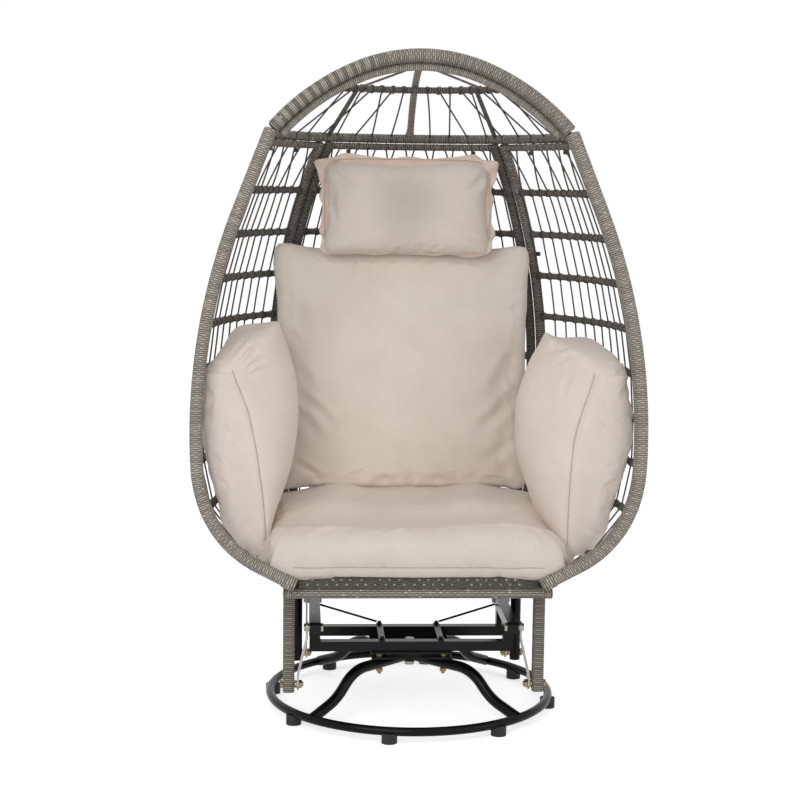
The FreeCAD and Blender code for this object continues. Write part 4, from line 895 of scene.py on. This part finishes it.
def build_cap():
    rail_line, mid_line = cap_rail_line(), mid_rib_line()
    rail = Builder().sweep(rail_line, UPRIGHT, circle(0.0102, 22), RAIL_WRAP, ends=0.005, seed=60)
    rail.piece("wrapped_cap_rail", "woven_dark", "cap_rail")
    mid = Builder().sweep(mid_line, UPRIGHT, RIB, RIB_WRAP, RIB_PITCH, seed=61, flare=0.5)
    mid.piece("wrapped_mid_rib", "woven_dark", "cap_mid_rib")
    apex = leaned(np.array([[0, 0, CAP_LEVEL - HOOP_THICK]]))[0]
    start = apex + np.array([0, HOOP_DEPTH / 2 - 0.006, 0.0])
    run = np.array([0, rail_line[:, 1].max(), CAP_RAIL_LEVEL + 0.008]) - start
    share, middle = np.linspace(0, 1, 60)[:, None], SPOKE_BRIDGE_SHARE
    lift = (SPOKE_BRIDGE - start - run * middle) / (4 * middle * (1 - middle))
    line = start + run * share + lift * 4 * share * (1 - share)
    across = (1, 0, 0)
    spokes = Builder().sweep(line, across, circle(0.0078, 16), HOOP_WRAP, flare=0.5, seed=62)
    for upper, lower in SIDE_SPOKES:
        line = [line_at(mid_line, upper)[0], line_at(rail_line, lower)[0]]
        spokes.sweep(line, across, circle(0.005, 10), RIB_WRAP, seed=63)
    spokes.piece("wrapped_spokes", "woven_dark", "cap_spokes")
    build_cap_cords(rail_line, mid_line, start)


def build_cap_cords(rail_line, mid_line, apex):
    """Cords from the upper bow to the cap's rail, in crossed pairs, and two from the apex."""
    cords = Builder()
    shares = [index * CAP_CORD_STEP for index in range(1, CAP_CORDS + 1)]
    for index, share in enumerate(shares):
        partner = shares[min(index ^ 1, len(shares) - 1)]
        for side in (1, -1):
            upper, heading = line_at(mid_line, 0.5 + side * (0.5 - share))
            lower, rail_heading = line_at(rail_line, 0.5 + side * (0.5 - partner))
            out = np.array([0.0, 0.0024 if index % 2 else -0.0024, 0.0])
            strand(cords, upper, lower, out, 700 + index * 2 + side)
            wind(cords, upper, heading, 0.0084, 1.5, 800 + index, 0.0016)
            wind(cords, lower, rail_heading, 0.0106, 0.8, 850 + index, 0.0011)
    seen = pixels(mid_line)
    for foot in STRUT_FEET:
        spot = mid_line[np.argmin(np.linalg.norm(seen - foot, axis=1))]
        strut = [apex + np.array([0, 0.002, -0.004]), spot]
        cords.sweep(strut, (0, 1, 0), circle(0.0026, 10), RAIL_WRAP, ridge=0.0002, seed=78)
    cords.piece("cap_cords", "dark_cord", "cap_strands")


# Seat frame

RAIL_LEVEL = 0.308
RAIL_RADIUS = 0.0109
CROSS_RAILS = ((0.28275, 0.17), (0.2602, 0.11))
SIDE_RAIL_AT, SIDE_RAIL_SPAN = 0.2715, (-0.2487, 0.1587)
FRONT_RAIL_AT, FRONT_RAIL_HALF = -0.26, 0.2845
END_WRAP_SPAN = (0.262, 0.2835)
POST_AT, POST_SPAN = -0.15, (0.0642, 0.2965)


def build_seat_frame():
    rails = Builder()
    runs = [((-half, along), (half, along)) for half, along in CROSS_RAILS]
    for across in (SIDE_RAIL_AT, -SIDE_RAIL_AT):
        runs.append([(across, along) for along in SIDE_RAIL_SPAN])
    for seed, run in enumerate(runs):
        line = [(*spot, RAIL_LEVEL) for spot in run]
        section = circle(RAIL_RADIUS, 22)
        rails.sweep(line, UPRIGHT, section, RIB_WRAP, RIB_PITCH, ends=0.003, seed=seed)
    rails.piece("wrapped_seat_rails", "woven_dark", "seat_frame_rails")

    def front_run(low, high):
        return [(across, FRONT_RAIL_AT, RAIL_LEVEL) for across in (low, high)]

    front = Builder().sweep(
        front_run(-FRONT_RAIL_HALF, FRONT_RAIL_HALF), UPRIGHT,
        circle(RAIL_RADIUS, 52), FRONT_WRAP, 0.008, 0.0005, lengthwise=13, ends=0.0108, seed=80,
    )
    inner, outer = END_WRAP_SPAN
    for line in (front_run(-outer, -inner), front_run(inner, outer)):
        section = circle(0.0114, 26)
        front.sweep(line, UPRIGHT, section, POST_WRAP, 0.0048, 0.0006, ends=0.002, seed=81)
    front.piece("wrapped_front_rail", "woven_grey", "front_rail")
    posts = Builder()
    for side in (-1, 1):
        posts.sweep(
            [(side * SIDE_RAIL_AT, POST_AT, height) for height in POST_SPAN],
            (1, 0, 0), squared(0.0252, 0.006), POST_WRAP, WRAP_PITCH, 0.0004,
            ends=0.003, last=False, seed=83 + side,
        )
    posts.piece("wrapped_front_posts", "woven_grey", "front_posts")


APRON_HALF, APRON_FRONT, APRON_BASE = 0.252, -0.2665, DECK_BASE + 0.0008
APRON_ROWS, APRON_TALL = 6, 0.026
STITCH_STEP, STITCH_CHANCE, STITCH_HALF = 0.0202, 0.84, 0.244
STITCH_ROWS = ((0.0, APRON_BASE + 0.0078), (STITCH_STEP / 2, APRON_BASE + 0.0182))


def build_apron():
    """Lengthwise strands over upright stakes, with two rows of light stitches."""
    apron = Builder()
    half, front, base = APRON_HALF, APRON_FRONT, APRON_BASE
    thick = APRON_TALL / APRON_ROWS
    x = np.linspace(-half, half, 260)
    for row in range(APRON_ROWS):
        weave = 0.0008 * np.sin(x * TURN / 0.021 + row * math.pi)
        height = base + thick * (row + 0.5) + 0.0003 * np.sin(x * 91 + row)
        line = np.stack([x, front + 0.0022 - weave, height], -1)
        section = circle(0.00235, 10)
        apron.sweep(line, UPRIGHT, section, APRON_WRAP, 0.008, 0.0, ends=0.002, seed=90 + row)
    body = [(end, -0.2590, base + 0.0127) for end in (-half, half)]
    section = stadium(0.0255, 0.0115, 28)
    apron.sweep(body, UPRIGHT, section, APRON_WRAP, 0.008, 0.0003, ends=0.003, seed=97)
    chance = np.random.default_rng(4)
    section = stadium(0.0056, 0.0018, 12)
    for shift, height in STITCH_ROWS:
        for index in range(24):
            x = -0.232 + STITCH_STEP * index + shift + chance.normal() * 0.0012
            if chance.random() < 1 - STITCH_CHANCE or abs(x) > STITCH_HALF:
                continue
            tall = 0.0016 + chance.random() * 0.0008
            line = [(x, front - 0.0003, height + end) for end in (-tall, tall)]
            apron.sweep(line, (1, 0, 0), section, FLECK_STRAND, 0.002, 0.0, ends=0.001, seed=index)
    apron.piece("woven_apron_strands", "woven_grey", "woven_apron")


WEB_SPANS = ((-0.2600, 0.2600), (-0.2526, 0.1583))
WEB_PITCH = 0.0072


def build_webbing():
    """Seat webbing: flat strands over and under each other between the rails."""
    web = Builder()
    middle, pitch = (DECK_BASE + DECK_TOP) / 2, WEB_PITCH
    flat = stadium(0.0062, 0.0016, 8)
    for axis, over in ((0, 1), (1, -1)):
        (low, high), (start, end) = WEB_SPANS[axis], WEB_SPANS[1 - axis]
        run = np.arange(start, end, pitch / 4)
        for index in range(int((high - low) / pitch)):
            line = np.empty((len(run), 3))
            line[:, axis] = low + pitch * (index + 0.5)
            line[:, 1 - axis] = run
            wave = 0.0011 * np.cos(run / pitch * math.pi + index * math.pi)
            line[:, 2] = middle + over * wave
            web.sweep(line, np.eye(3)[axis], flat, RIB_WRAP, pitch / 1.6, 0.0, per_turn=1)
    web.piece("seat_web_strands", "woven_grey", "seat_webbing")


# Cushions


def coordinates(mesh):
    return taken(mesh.vertices, "co").astype(float)


def vertex_normals(mesh):
    return taken(mesh.vertex_normals, "vector").astype(float)


def set_coordinates(mesh, points):
    put(mesh.vertices, "co", points)
    mesh.update()


def surface_tree(mesh):
    return BVHTree.FromPolygons(
        [Vector(point) for point in coordinates(mesh)],
        [tuple(face.vertices) for face in mesh.polygons],
    )


def neighbour_mean(mesh):
    """A function that gives the mean of a value at each vertex's neighbours."""
    edges = taken(mesh.edges, "vertices", 2, np.int32)
    size = len(mesh.vertices)
    count = np.maximum(np.bincount(edges.ravel(), minlength=size), 1)[:, None]

    def mean(values):
        total = [
            np.bincount(edges[:, 0], values[edges[:, 1], axis], size)
            + np.bincount(edges[:, 1], values[edges[:, 0], axis], size)
            for axis in range(3)
        ]
        return np.stack(total, -1) / count

    return mean


def applied(piece):
    """Puts a piece's modifiers into its mesh."""
    graph = bpy.context.evaluated_depsgraph_get()
    mesh = bpy.data.meshes.new_from_object(piece.evaluated_get(graph))
    mesh.name = piece.name
    piece.modifiers.clear()
    piece.data = mesh
    return mesh


def remeshed(name, source, voxel, shrink):
    """A copy of a solid, remeshed evenly, evened out and drawn in along its normals."""
    piece = linked(name, source.copy())
    modifier = piece.modifiers.new("Remesh", "REMESH")
    modifier.mode = "VOXEL"
    modifier.voxel_size = voxel
    mesh = applied(piece)
    mean, points = neighbour_mean(mesh), coordinates(mesh)
    for _ in range(4):
        points = points + (mean(points) - points) * 0.5
    set_coordinates(mesh, points)
    set_coordinates(mesh, coordinates(mesh) - vertex_normals(mesh) * shrink)
    return piece


CLOTH_PRESSURE = 4.0
CLOTH_FRAMES = 20


def inflated(piece, cap, spare):
    """Cloth filled by pressure. No point moves further than cap."""
    before = coordinates(piece.data)
    cloth = piece.modifiers.new("Cloth", "CLOTH")
    settings = cloth.settings
    settings.quality = 5
    settings.mass = 0.3
    settings.tension_stiffness = 18
    settings.compression_stiffness = 14
    settings.shear_stiffness = 6
    settings.bending_stiffness = 0.6
    settings.use_pressure = True
    settings.uniform_pressure_force = CLOTH_PRESSURE
    settings.shrink_min = -spare
    settings.effector_weights.gravity = 0
    cloth.collision_settings.use_collision = False
    scene = bpy.context.scene
    scene.frame_start, scene.frame_end = 1, CLOTH_FRAMES
    for number in range(1, CLOTH_FRAMES + 1):
        scene.frame_set(number)
    mesh = applied(piece)
    scene.frame_set(1)
    moved = coordinates(mesh) - before
    reach = np.linalg.norm(moved, axis=1, keepdims=True)
    set_coordinates(mesh, before + moved * np.minimum(1.0, cap / np.maximum(reach, 1e-9)))


def refitted(piece, tree):
    """Brings the broad shape back to the cushion's drawn form and leaves its wrinkles alone."""
    mesh = piece.data
    mean, points = neighbour_mean(mesh), coordinates(mesh)
    for _ in range(2):
        pull = np.array([tree.find_nearest(Vector(point))[0] for point in points]) - points
        for _ in range(24):
            pull = 0.5 * pull + 0.5 * mean(pull)
        points = points + pull
    set_coordinates(mesh, points)


def filled(name, source, voxel, shrink, cap, spare):
    """A cushion cover: the drawn form remeshed, inflated as cloth and brought back to size."""
    piece = remeshed(name, source, voxel, shrink)
    inflated(piece, cap, spare)
    refitted(piece, surface_tree(source))
    modifier = piece.modifiers.new("Subdivision", "SUBSURF")
    modifier.levels = modifier.render_levels = 1
    applied(piece)
    return piece


def near_path(spots, path):
    """Distance from each spot to a path, and how far along the path the nearest place is."""
    path = np.asarray(path, float)
    best = np.full(len(spots), 1e9)
    along = np.zeros(len(spots))
    total = len(path) - 1
    for index in range(total):
        start, run = path[index], path[index + 1] - path[index]
        share = np.clip((spots - start) @ run / max(run @ run, 1e-12), 0, 1)
        away = np.linalg.norm(spots - start - share[:, None] * run, axis=1)
        closer = away < best
        best[closer] = away[closer]
        along[closer] = ((index + share) / total)[closer]
    return best, along


def folded(piece, folds):
    """Presses creases into the side of a cushion that faces the camera. Each fold is a path in
    the photograph's frame, its half width in pixels and its depth in metres."""
    mesh = piece.data
    points, normals = coordinates(mesh), vertex_normals(mesh)
    facing = np.clip(-(normals @ AHEAD) * 2.5, 0, 1)
    spots = pixels(points)
    shift = np.zeros(len(points))
    for path, width, depth in folds:
        away, along = near_path(spots, path)
        fade = np.sin(np.clip(along, 0.02, 0.98) * math.pi) ** 0.6
        share = away / width
        profile = -np.exp(-(share**2)) + 0.55 * np.exp(-((share - 1.7) ** 2) * 1.4)
        shift += depth * profile * fade
    set_coordinates(mesh, points + normals * (shift * facing)[:, None])


def nudged(piece, moves):
    """Moves a cushion's outline in the photograph's frame. Each move is a spot, how far it goes
    and how wide its reach is, all in pixels."""
    mesh = piece.data
    points = coordinates(mesh)
    spots = pixels(points)
    depth = ((points - CAMERA_AT) @ AHEAD)[:, None] / FOCAL
    for across, down, right, below, reach in moves:
        weight = np.exp(-(((spots[:, 0] - across) ** 2 + (spots[:, 1] - down) ** 2) / reach**2))
        points = points + weight[:, None] * depth * (RIGHT * right - UP * below)
    set_coordinates(mesh, points)


def rippled(piece, scale, amount, seed):
    """Soft unevenness of a filled cover."""
    mesh = piece.data
    points, normals = coordinates(mesh), vertex_normals(mesh)
    chance = np.random.default_rng(seed)
    height = np.zeros(len(points))
    for _ in range(14):
        heading = unit(chance.normal(size=3))
        waves = points @ heading * scale * (0.5 + chance.random())
        height += np.sin(waves + chance.random() * TURN)
    set_coordinates(mesh, points + normals * (height * amount / 14**0.5)[:, None])


def seam(piece, path, name, groove, width=0.006):
    """A sewn line on a cushion: a soft groove with the thread lying in it."""
    mesh = piece.data
    tree = surface_tree(mesh)
    points, normals = coordinates(mesh), vertex_normals(mesh)
    line = resampled(path, 0.003)[0]
    laid = np.array([tree.find_nearest(Vector(spot))[0] for spot in line])
    for _ in range(3):
        laid[1:-1] = (laid[:-2] + laid[1:-1] + laid[2:]) / 3
    away, _ = near_path(points, laid)
    points -= normals * (groove * np.exp(-((away / width) ** 2)))[:, None]
    set_coordinates(mesh, points)
    out = np.array([tree.find_nearest(Vector(spot))[1] for spot in laid])
    stitched(laid - out * groove * 0.75, (0.3, 0.1, 0.9), 0.0009, name)


def stitched(line, across, radius, name):
    thread = Builder().sweep(line, across, circle(radius, 6), THREAD, 0.004, 0.0, 1)
    thread.piece(name, "cushion_fabric")


def covered(node, source, form, ripple, nudges, folds, material, lowest=0.0):
    """A finished cushion: filled, made uneven, brought to the photograph's outline and creased."""
    piece = filled(node + "_cover", source, *form)
    rippled(piece, *ripple)
    nudged(piece, nudges)
    folded(piece, folds)
    mesh = piece.data
    points = coordinates(mesh)
    points[:, 2] = np.maximum(points[:, 2], lowest)
    set_coordinates(mesh, points)
    mesh.materials.clear()
    mesh.materials.append(material)
    put(mesh.polygons, "use_smooth", np.ones(len(mesh.polygons)), bool)
    mesh.update()
    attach(piece, SEAT)
    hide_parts(node)
    return piece


def outline(width, height, corner, count=240):
    """A rounded rectangle as evenly spaced points. The smaller the corner, the squarer it is."""
    angles = np.linspace(0, TURN, 2400)
    power = 2 / corner
    reach = (np.abs(np.cos(angles)) ** power + np.abs(np.sin(angles)) ** power) ** (-1 / power)
    line = np.stack([np.cos(angles) * reach * width / 2, np.sin(angles) * reach * height / 2], -1)
    return resampled(line, count=count)[0]


# A cushion's form is its voxel size, how far it is drawn in before it is filled, how far the
# cloth may move and how much spare cloth it has. A ripple is its scale, height and seed.

BACK_SEAM_LEAN = math.radians(8.0)
ARM_SEAM_PLANE = -0.219


def build_seat_cushion():
    piece = covered(
        "seat_cushion", NODES["seat_cushion"].data, (0.0068, 0.004, 0.014, 0.03),
        (24.0, 0.0012, 3), SEAT_NUDGES, SEAT_FOLDS, FABRIC, DECK_TOP + 0.0006,
    )
    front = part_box("seat_cushion")[0][1] + 0.004
    x = np.linspace(-0.262, 0.262, 60)
    path = np.stack([x, 0 * x + front, 0 * x + 0.3685], -1)
    seam(piece, path, "seat_cushion_seam", 0.0016)


def build_back_cushion():
    piece = covered(
        "back_cushion", NODES["back_cushion"].data, (0.0068, 0.004, 0.014, 0.035),
        (20.0, 0.0014, 5), BACK_NUDGES, BACK_FOLDS, FABRIC,
    )
    x, rise = outline(0.590, 0.582, 0.24).T
    along, up = math.sin(BACK_SEAM_LEAN), math.cos(BACK_SEAM_LEAN)
    path = np.stack([x - 0.020, 0.096 + rise * along, 0.747 + rise * up], -1)
    seam(piece, path, "back_cushion_seam", 0.0015)


def build_arm_cushions():
    for side, node in ((1, "arm_cushion_right"), (-1, "arm_cushion_left")):
        piece = covered(
            node, NODES[node].data, (0.006, 0.003, 0.012, 0.03),
            (26.0, 0.0012, 8 + side), ARM_NUDGES[side], ARM_FOLDS[side], ARM_FABRIC,
        )
        seam(piece, on_plane(ARM_SEAMS[side], ARM_SEAM_PLANE), node + "_seam", 0.0034, 0.008)


PILLOW_AT = np.array([-0.013, 0.0843, 1.112])
PILLOW_LEAN = math.radians(12.0)
PILLOW_WIDE, PILLOW_TALL, PILLOW_THICK = 0.366, 0.208, 0.098
FLANGE_TUCK = -0.034


def pillow_point(across, out, rise):
    """A point of the head pillow in the chair's frame; out is towards the sitter."""
    forward = np.array([0, -math.cos(PILLOW_LEAN), math.sin(PILLOW_LEAN)])
    upward = np.array([0, math.sin(PILLOW_LEAN), math.cos(PILLOW_LEAN)])
    across, out, rise = (part[..., None] for part in np.broadcast_arrays(across, out, rise))
    return PILLOW_AT + across * np.array([1.0, 0, 0]) + out * forward + rise * upward


def build_head_pillow():
    rings = 44
    edge = outline(1.0, 1.0, 0.26, 96)
    rows = []
    for share in np.linspace(-1, 1, rings):
        size = math.cos(share * math.pi / 2) ** 0.5 if abs(share) < 0.999 else 0.02
        bulge = math.sin(share * math.pi / 2) * PILLOW_THICK / 2
        pinch = 1 - 0.05 * np.cos(2 * np.arctan2(edge[:, 1], edge[:, 0])) ** 2 * (1 - abs(share))
        rise = edge[:, 1] * PILLOW_TALL * size * pinch - 0.006
        rows.append(pillow_point(edge[:, 0] * PILLOW_WIDE * size * pinch, bulge, rise))
    shell = Builder()
    shell.add_rings(np.array(rows), np.linspace(0, 1, rings), FABRIC)
    draft = shell.piece("pillow_draft", "cushion_fabric")
    form = draft.data
    bpy.data.objects.remove(draft)
    covered(
        "head_pillow", form, (0.005, 0.002, 0.012, 0.04),
        (30.0, 0.0012, 12), PILLOW_NUDGES, PILLOW_FOLDS, PILLOW_FABRIC,
    )
    build_pillow_flange()


def build_pillow_flange():
    """The pillow's flat ruffled border, wider at the corners."""
    count, layers = 420, 9
    across, rise = outline(1.0, 1.0, 0.24, count).T
    angles = np.linspace(0, TURN, count, endpoint=False)
    corner = np.clip((4 * np.abs(across * rise) - 0.3) / 0.5, 0, 1)
    phases = np.random.default_rng(21).random(4) * TURN
    ruffle = (
        0.6 * np.sin(angles * 13 + phases[0])
        + 0.35 * np.sin(angles * 24 + phases[1])
        + 0.6 * np.sin(angles * 5 + phases[2])
    )
    frill = 1 + 0.26 * np.sin(angles * 13 + phases[3]) + 0.14 * np.sin(angles * 22 + phases[0])
    brim = (0.010 + 0.010 * corner) * frill * (0.85 + 0.5 * rise)

    def outward(part, size, reach):
        return part * size + np.sign(part) * np.abs(2 * part) ** 0.6 * reach

    rings = []
    skins = [(1, step) for step in range(layers)] + [(-1, step) for step in reversed(range(layers))]
    for skin, step in skins:
        share = step / (layers - 1)
        reach = FLANGE_TUCK * (1 - share) + share * brim
        wave = ruffle * (0.004 + 0.008 * corner) * share**1.2 - 0.006 * share
        rings.append(
            pillow_point(
                outward(across, PILLOW_WIDE, reach * 1.1),
                wave + skin * 0.0012,
                outward(rise, PILLOW_TALL, reach * 0.7),
            )
        )
    flange = Builder()
    flange.add_rings(np.array(rings), np.linspace(0, 1, len(rings)), FLANGE_FABRIC, closed=False)
    flange.piece("head_pillow_flange", "cushion_fabric")
    line = pillow_point(across * (PILLOW_WIDE + 0.004), 0.0022, rise * (PILLOW_TALL + 0.004))
    line = np.concatenate([line, line[:1]])
    stitched(line, (0, 1, 0.2), 0.0008, "head_pillow_stitch")


# Folds and outlines read from the photograph, in its own pixels

SEAT_FOLDS = [
    (((330, 570), (338, 562), (342, 554)), 3.0, 0.0016),
    (((382, 571), (386, 563)), 2.5, 0.0016),
    (((470, 571), (466, 562), (462, 556)), 3.0, 0.0014),
    (((300, 566), (312, 556)), 3.0, 0.0014),
]
BACK_FOLDS = [
    (((296, 390), (306, 400), (320, 412), (332, 426)), 5.0, 0.0055),
    (((298, 410), (310, 424), (320, 440)), 7.0, 0.004),
    (((296, 462), (308, 470), (324, 480)), 4.0, 0.005),
    (((294, 366), (302, 376), (310, 390)), 6.0, 0.004),
    (((408, 476), (409, 488)), 4.0, 0.005),
    (((370, 486), (384, 480), (396, 482)), 4.0, 0.003),
    (((424, 483), (440, 479), (456, 484)), 4.0, 0.003),
    (((514, 352), (506, 372), (492, 392)), 7.0, 0.005),
    (((508, 400), (496, 416), (478, 430)), 6.0, 0.005),
    (((510, 440), (498, 452), (484, 460)), 6.0, 0.004),
    (((514, 478), (504, 468), (496, 456)), 5.0, 0.004),
    (((288, 300), (298, 316), (304, 336)), 9.0, 0.003),
    (((290, 262), (304, 268), (316, 280)), 7.0, 0.003),
    (((512, 262), (500, 270), (492, 284)), 7.0, 0.003),
]
PILLOW_FOLDS = [
    (((377, 170), (381, 178), (379, 190)), 2.5, 0.003),
    (((332, 172), (344, 182), (356, 186)), 4.0, 0.004),
    (((486, 172), (478, 184), (468, 190)), 4.0, 0.004),
    (((330, 246), (340, 240), (352, 236)), 4.0, 0.003),
    (((490, 250), (478, 244), (466, 240)), 4.0, 0.003),
    (((334, 192), (333, 206), (336, 222)), 3.0, 0.003),
    (((390, 176), (404, 186), (424, 190), (440, 184)), 12.0, 0.007),
]
BACK_NUDGES = [
    (281, 254, -6, -5, 22),
    (518, 252, 7, -3, 22),
    (520, 470, 5, 2, 30),
    (286, 474, -4, 3, 30),
]
PILLOW_NUDGES = [
    (326, 162, -2, -4, 12),
    (490, 160, 3, -3, 12),
    (404, 160, 0, 3, 34),
    (328, 250, -3, 2, 12),
    (490, 256, 4, 4, 12),
]
SEAT_NUDGES = [
    (284, 566, -15, 3, 24),
    (550, 566, 13, 3, 24),
    (300, 508, -2, -15, 34),
    (340, 500, 0, -12, 26),
    (405, 494, 0, -3, 30),
    (516, 508, 2, -15, 34),
    (470, 500, 0, -11, 26),
    (540, 512, 8, -8, 24),
    (282, 516, -7, -8, 20),
]
ARM_NUDGES = {
    1: [
        (532, 400, -13, 0, 44),
        (534, 462, -14, 0, 42),
        (562, 326, -6, 10, 27),
        (526, 356, -3, -2, 18),
        (548, 508, -9, 8, 26),
        (575, 535, -4, 10, 24),
        (600, 530, 7, 6, 22),
        (628, 392, -2, -3, 18),
    ],
    -1: [
        (246, 336, -5, -4, 22),
        (258, 540, 2, 9, 20),
        (230, 530, -9, 9, 24),
        (206, 380, -4, -2, 16),
    ],
}
ARM_SEAMS = {
    1: (
        (593, 374), (589, 388), (583, 407), (577, 426),
        (573, 443), (570, 478), (568, 520), (567, 552),
    ),
    -1: ((232, 370), (239, 386), (250, 413), (257, 448), (263, 490), (267, 523), (269, 545)),
}
ARM_FOLDS = {
    1: [
        (((545, 352), (556, 347), (568, 350)), 4.0, 0.004),
        (((556, 364), (568, 356), (578, 356)), 3.0, 0.003),
        (((600, 392), (606, 402), (609, 416)), 3.0, 0.002),
        (((572, 372), (566, 384), (562, 398)), 3.0, 0.0025),
        (((600, 536), (588, 530), (580, 520)), 3.0, 0.0025),
    ],
    -1: [
        (((236, 364), (244, 352), (252, 343)), 2.6, 0.0035),
        (((240, 367), (249, 357), (258, 350)), 2.4, 0.0035),
        (((245, 371), (255, 362), (267, 358)), 2.4, 0.003),
        (((233, 356), (240, 346), (246, 338)), 2.4, 0.003),
        (((248, 376), (260, 370), (272, 369)), 2.6, 0.002),
        (((212, 396), (209, 410), (209, 424)), 3.0, 0.002),
        (((236, 540), (244, 530), (250, 518)), 3.0, 0.0025),
    ],
}


# Studio

LIGHTS = (
    # name, place, size, power
    ("key_light", (-1.5, -3.3, 2.3), 2.8, 64.0),
    ("fill_light", (2.6, -2.4, 1.5), 2.6, 24.0),
    ("top_light", (0.3, 0.6, 3.4), 2.4, 9.0),
)
LIT_SPOT = (0.0, 0.0, 0.7)
WORLD_LIGHT = 0.46
FLOOR_GLOW = 0.64
FLOOR_REACH = 30.0


def area_light(name, place, size, power):
    data = bpy.data.lights.new(name, "AREA")
    data.shape = "SQUARE"
    data.size = size
    data.energy = power
    lamp = linked(name, data)
    lamp.location = place
    lamp.rotation_mode = "QUATERNION"
    lamp.rotation_quaternion = (Vector(LIT_SPOT) - Vector(place)).to_track_quat("-Z", "Y")


def build_studio():
    scene = bpy.context.scene
    scene.world = bpy.data.worlds.new("studio")
    sky = Shader("studio", scene.world)
    levels = {"Value": sky.seen_directly(), "To Min": WORLD_LIGHT, "To Max": 1.0}
    sky.finish(Color=(1.0, 1.0, 1.0, 1.0), Strength=sky.add("MapRange", 0, levels))
    for light in LIGHTS:
        area_light(*light)
    mesh = bpy.data.meshes.new("studio_floor")
    corners = [(-1, -1, 0), (1, -1, 0), (1, 1, 0), (-1, 1, 0)]
    corners = [tuple(FLOOR_REACH * part for part in corner) for corner in corners]
    mesh.from_pydata(corners, [], [(0, 1, 2, 3)])
    floor = linked("studio_floor", mesh)
    ground = Shader("pale_floor")
    ground.finish(
        Base_Color=(0.82, 0.82, 0.82, 1.0),
        Roughness=0.9,
        Specular_IOR_Level=0.1,
        Emission_Color=(1.0, 1.0, 1.0, 1.0),
        Emission_Strength=ground.times(ground.seen_directly(), FLOOR_GLOW),
    )
    mesh.materials.append(ground.owner)
    scene.view_settings.view_transform = "Standard"


make_camera()
build_studio()
dress_frame()
build_hoops()
build_arch()
build_side_panels()
build_back_panel()
build_strands()
build_cap()
build_seat_frame()
build_apron()
build_webbing()
build_seat_cushion()
build_back_cushion()
build_arm_cushions()
build_head_pillow()

bpy.context.view_layer.update()
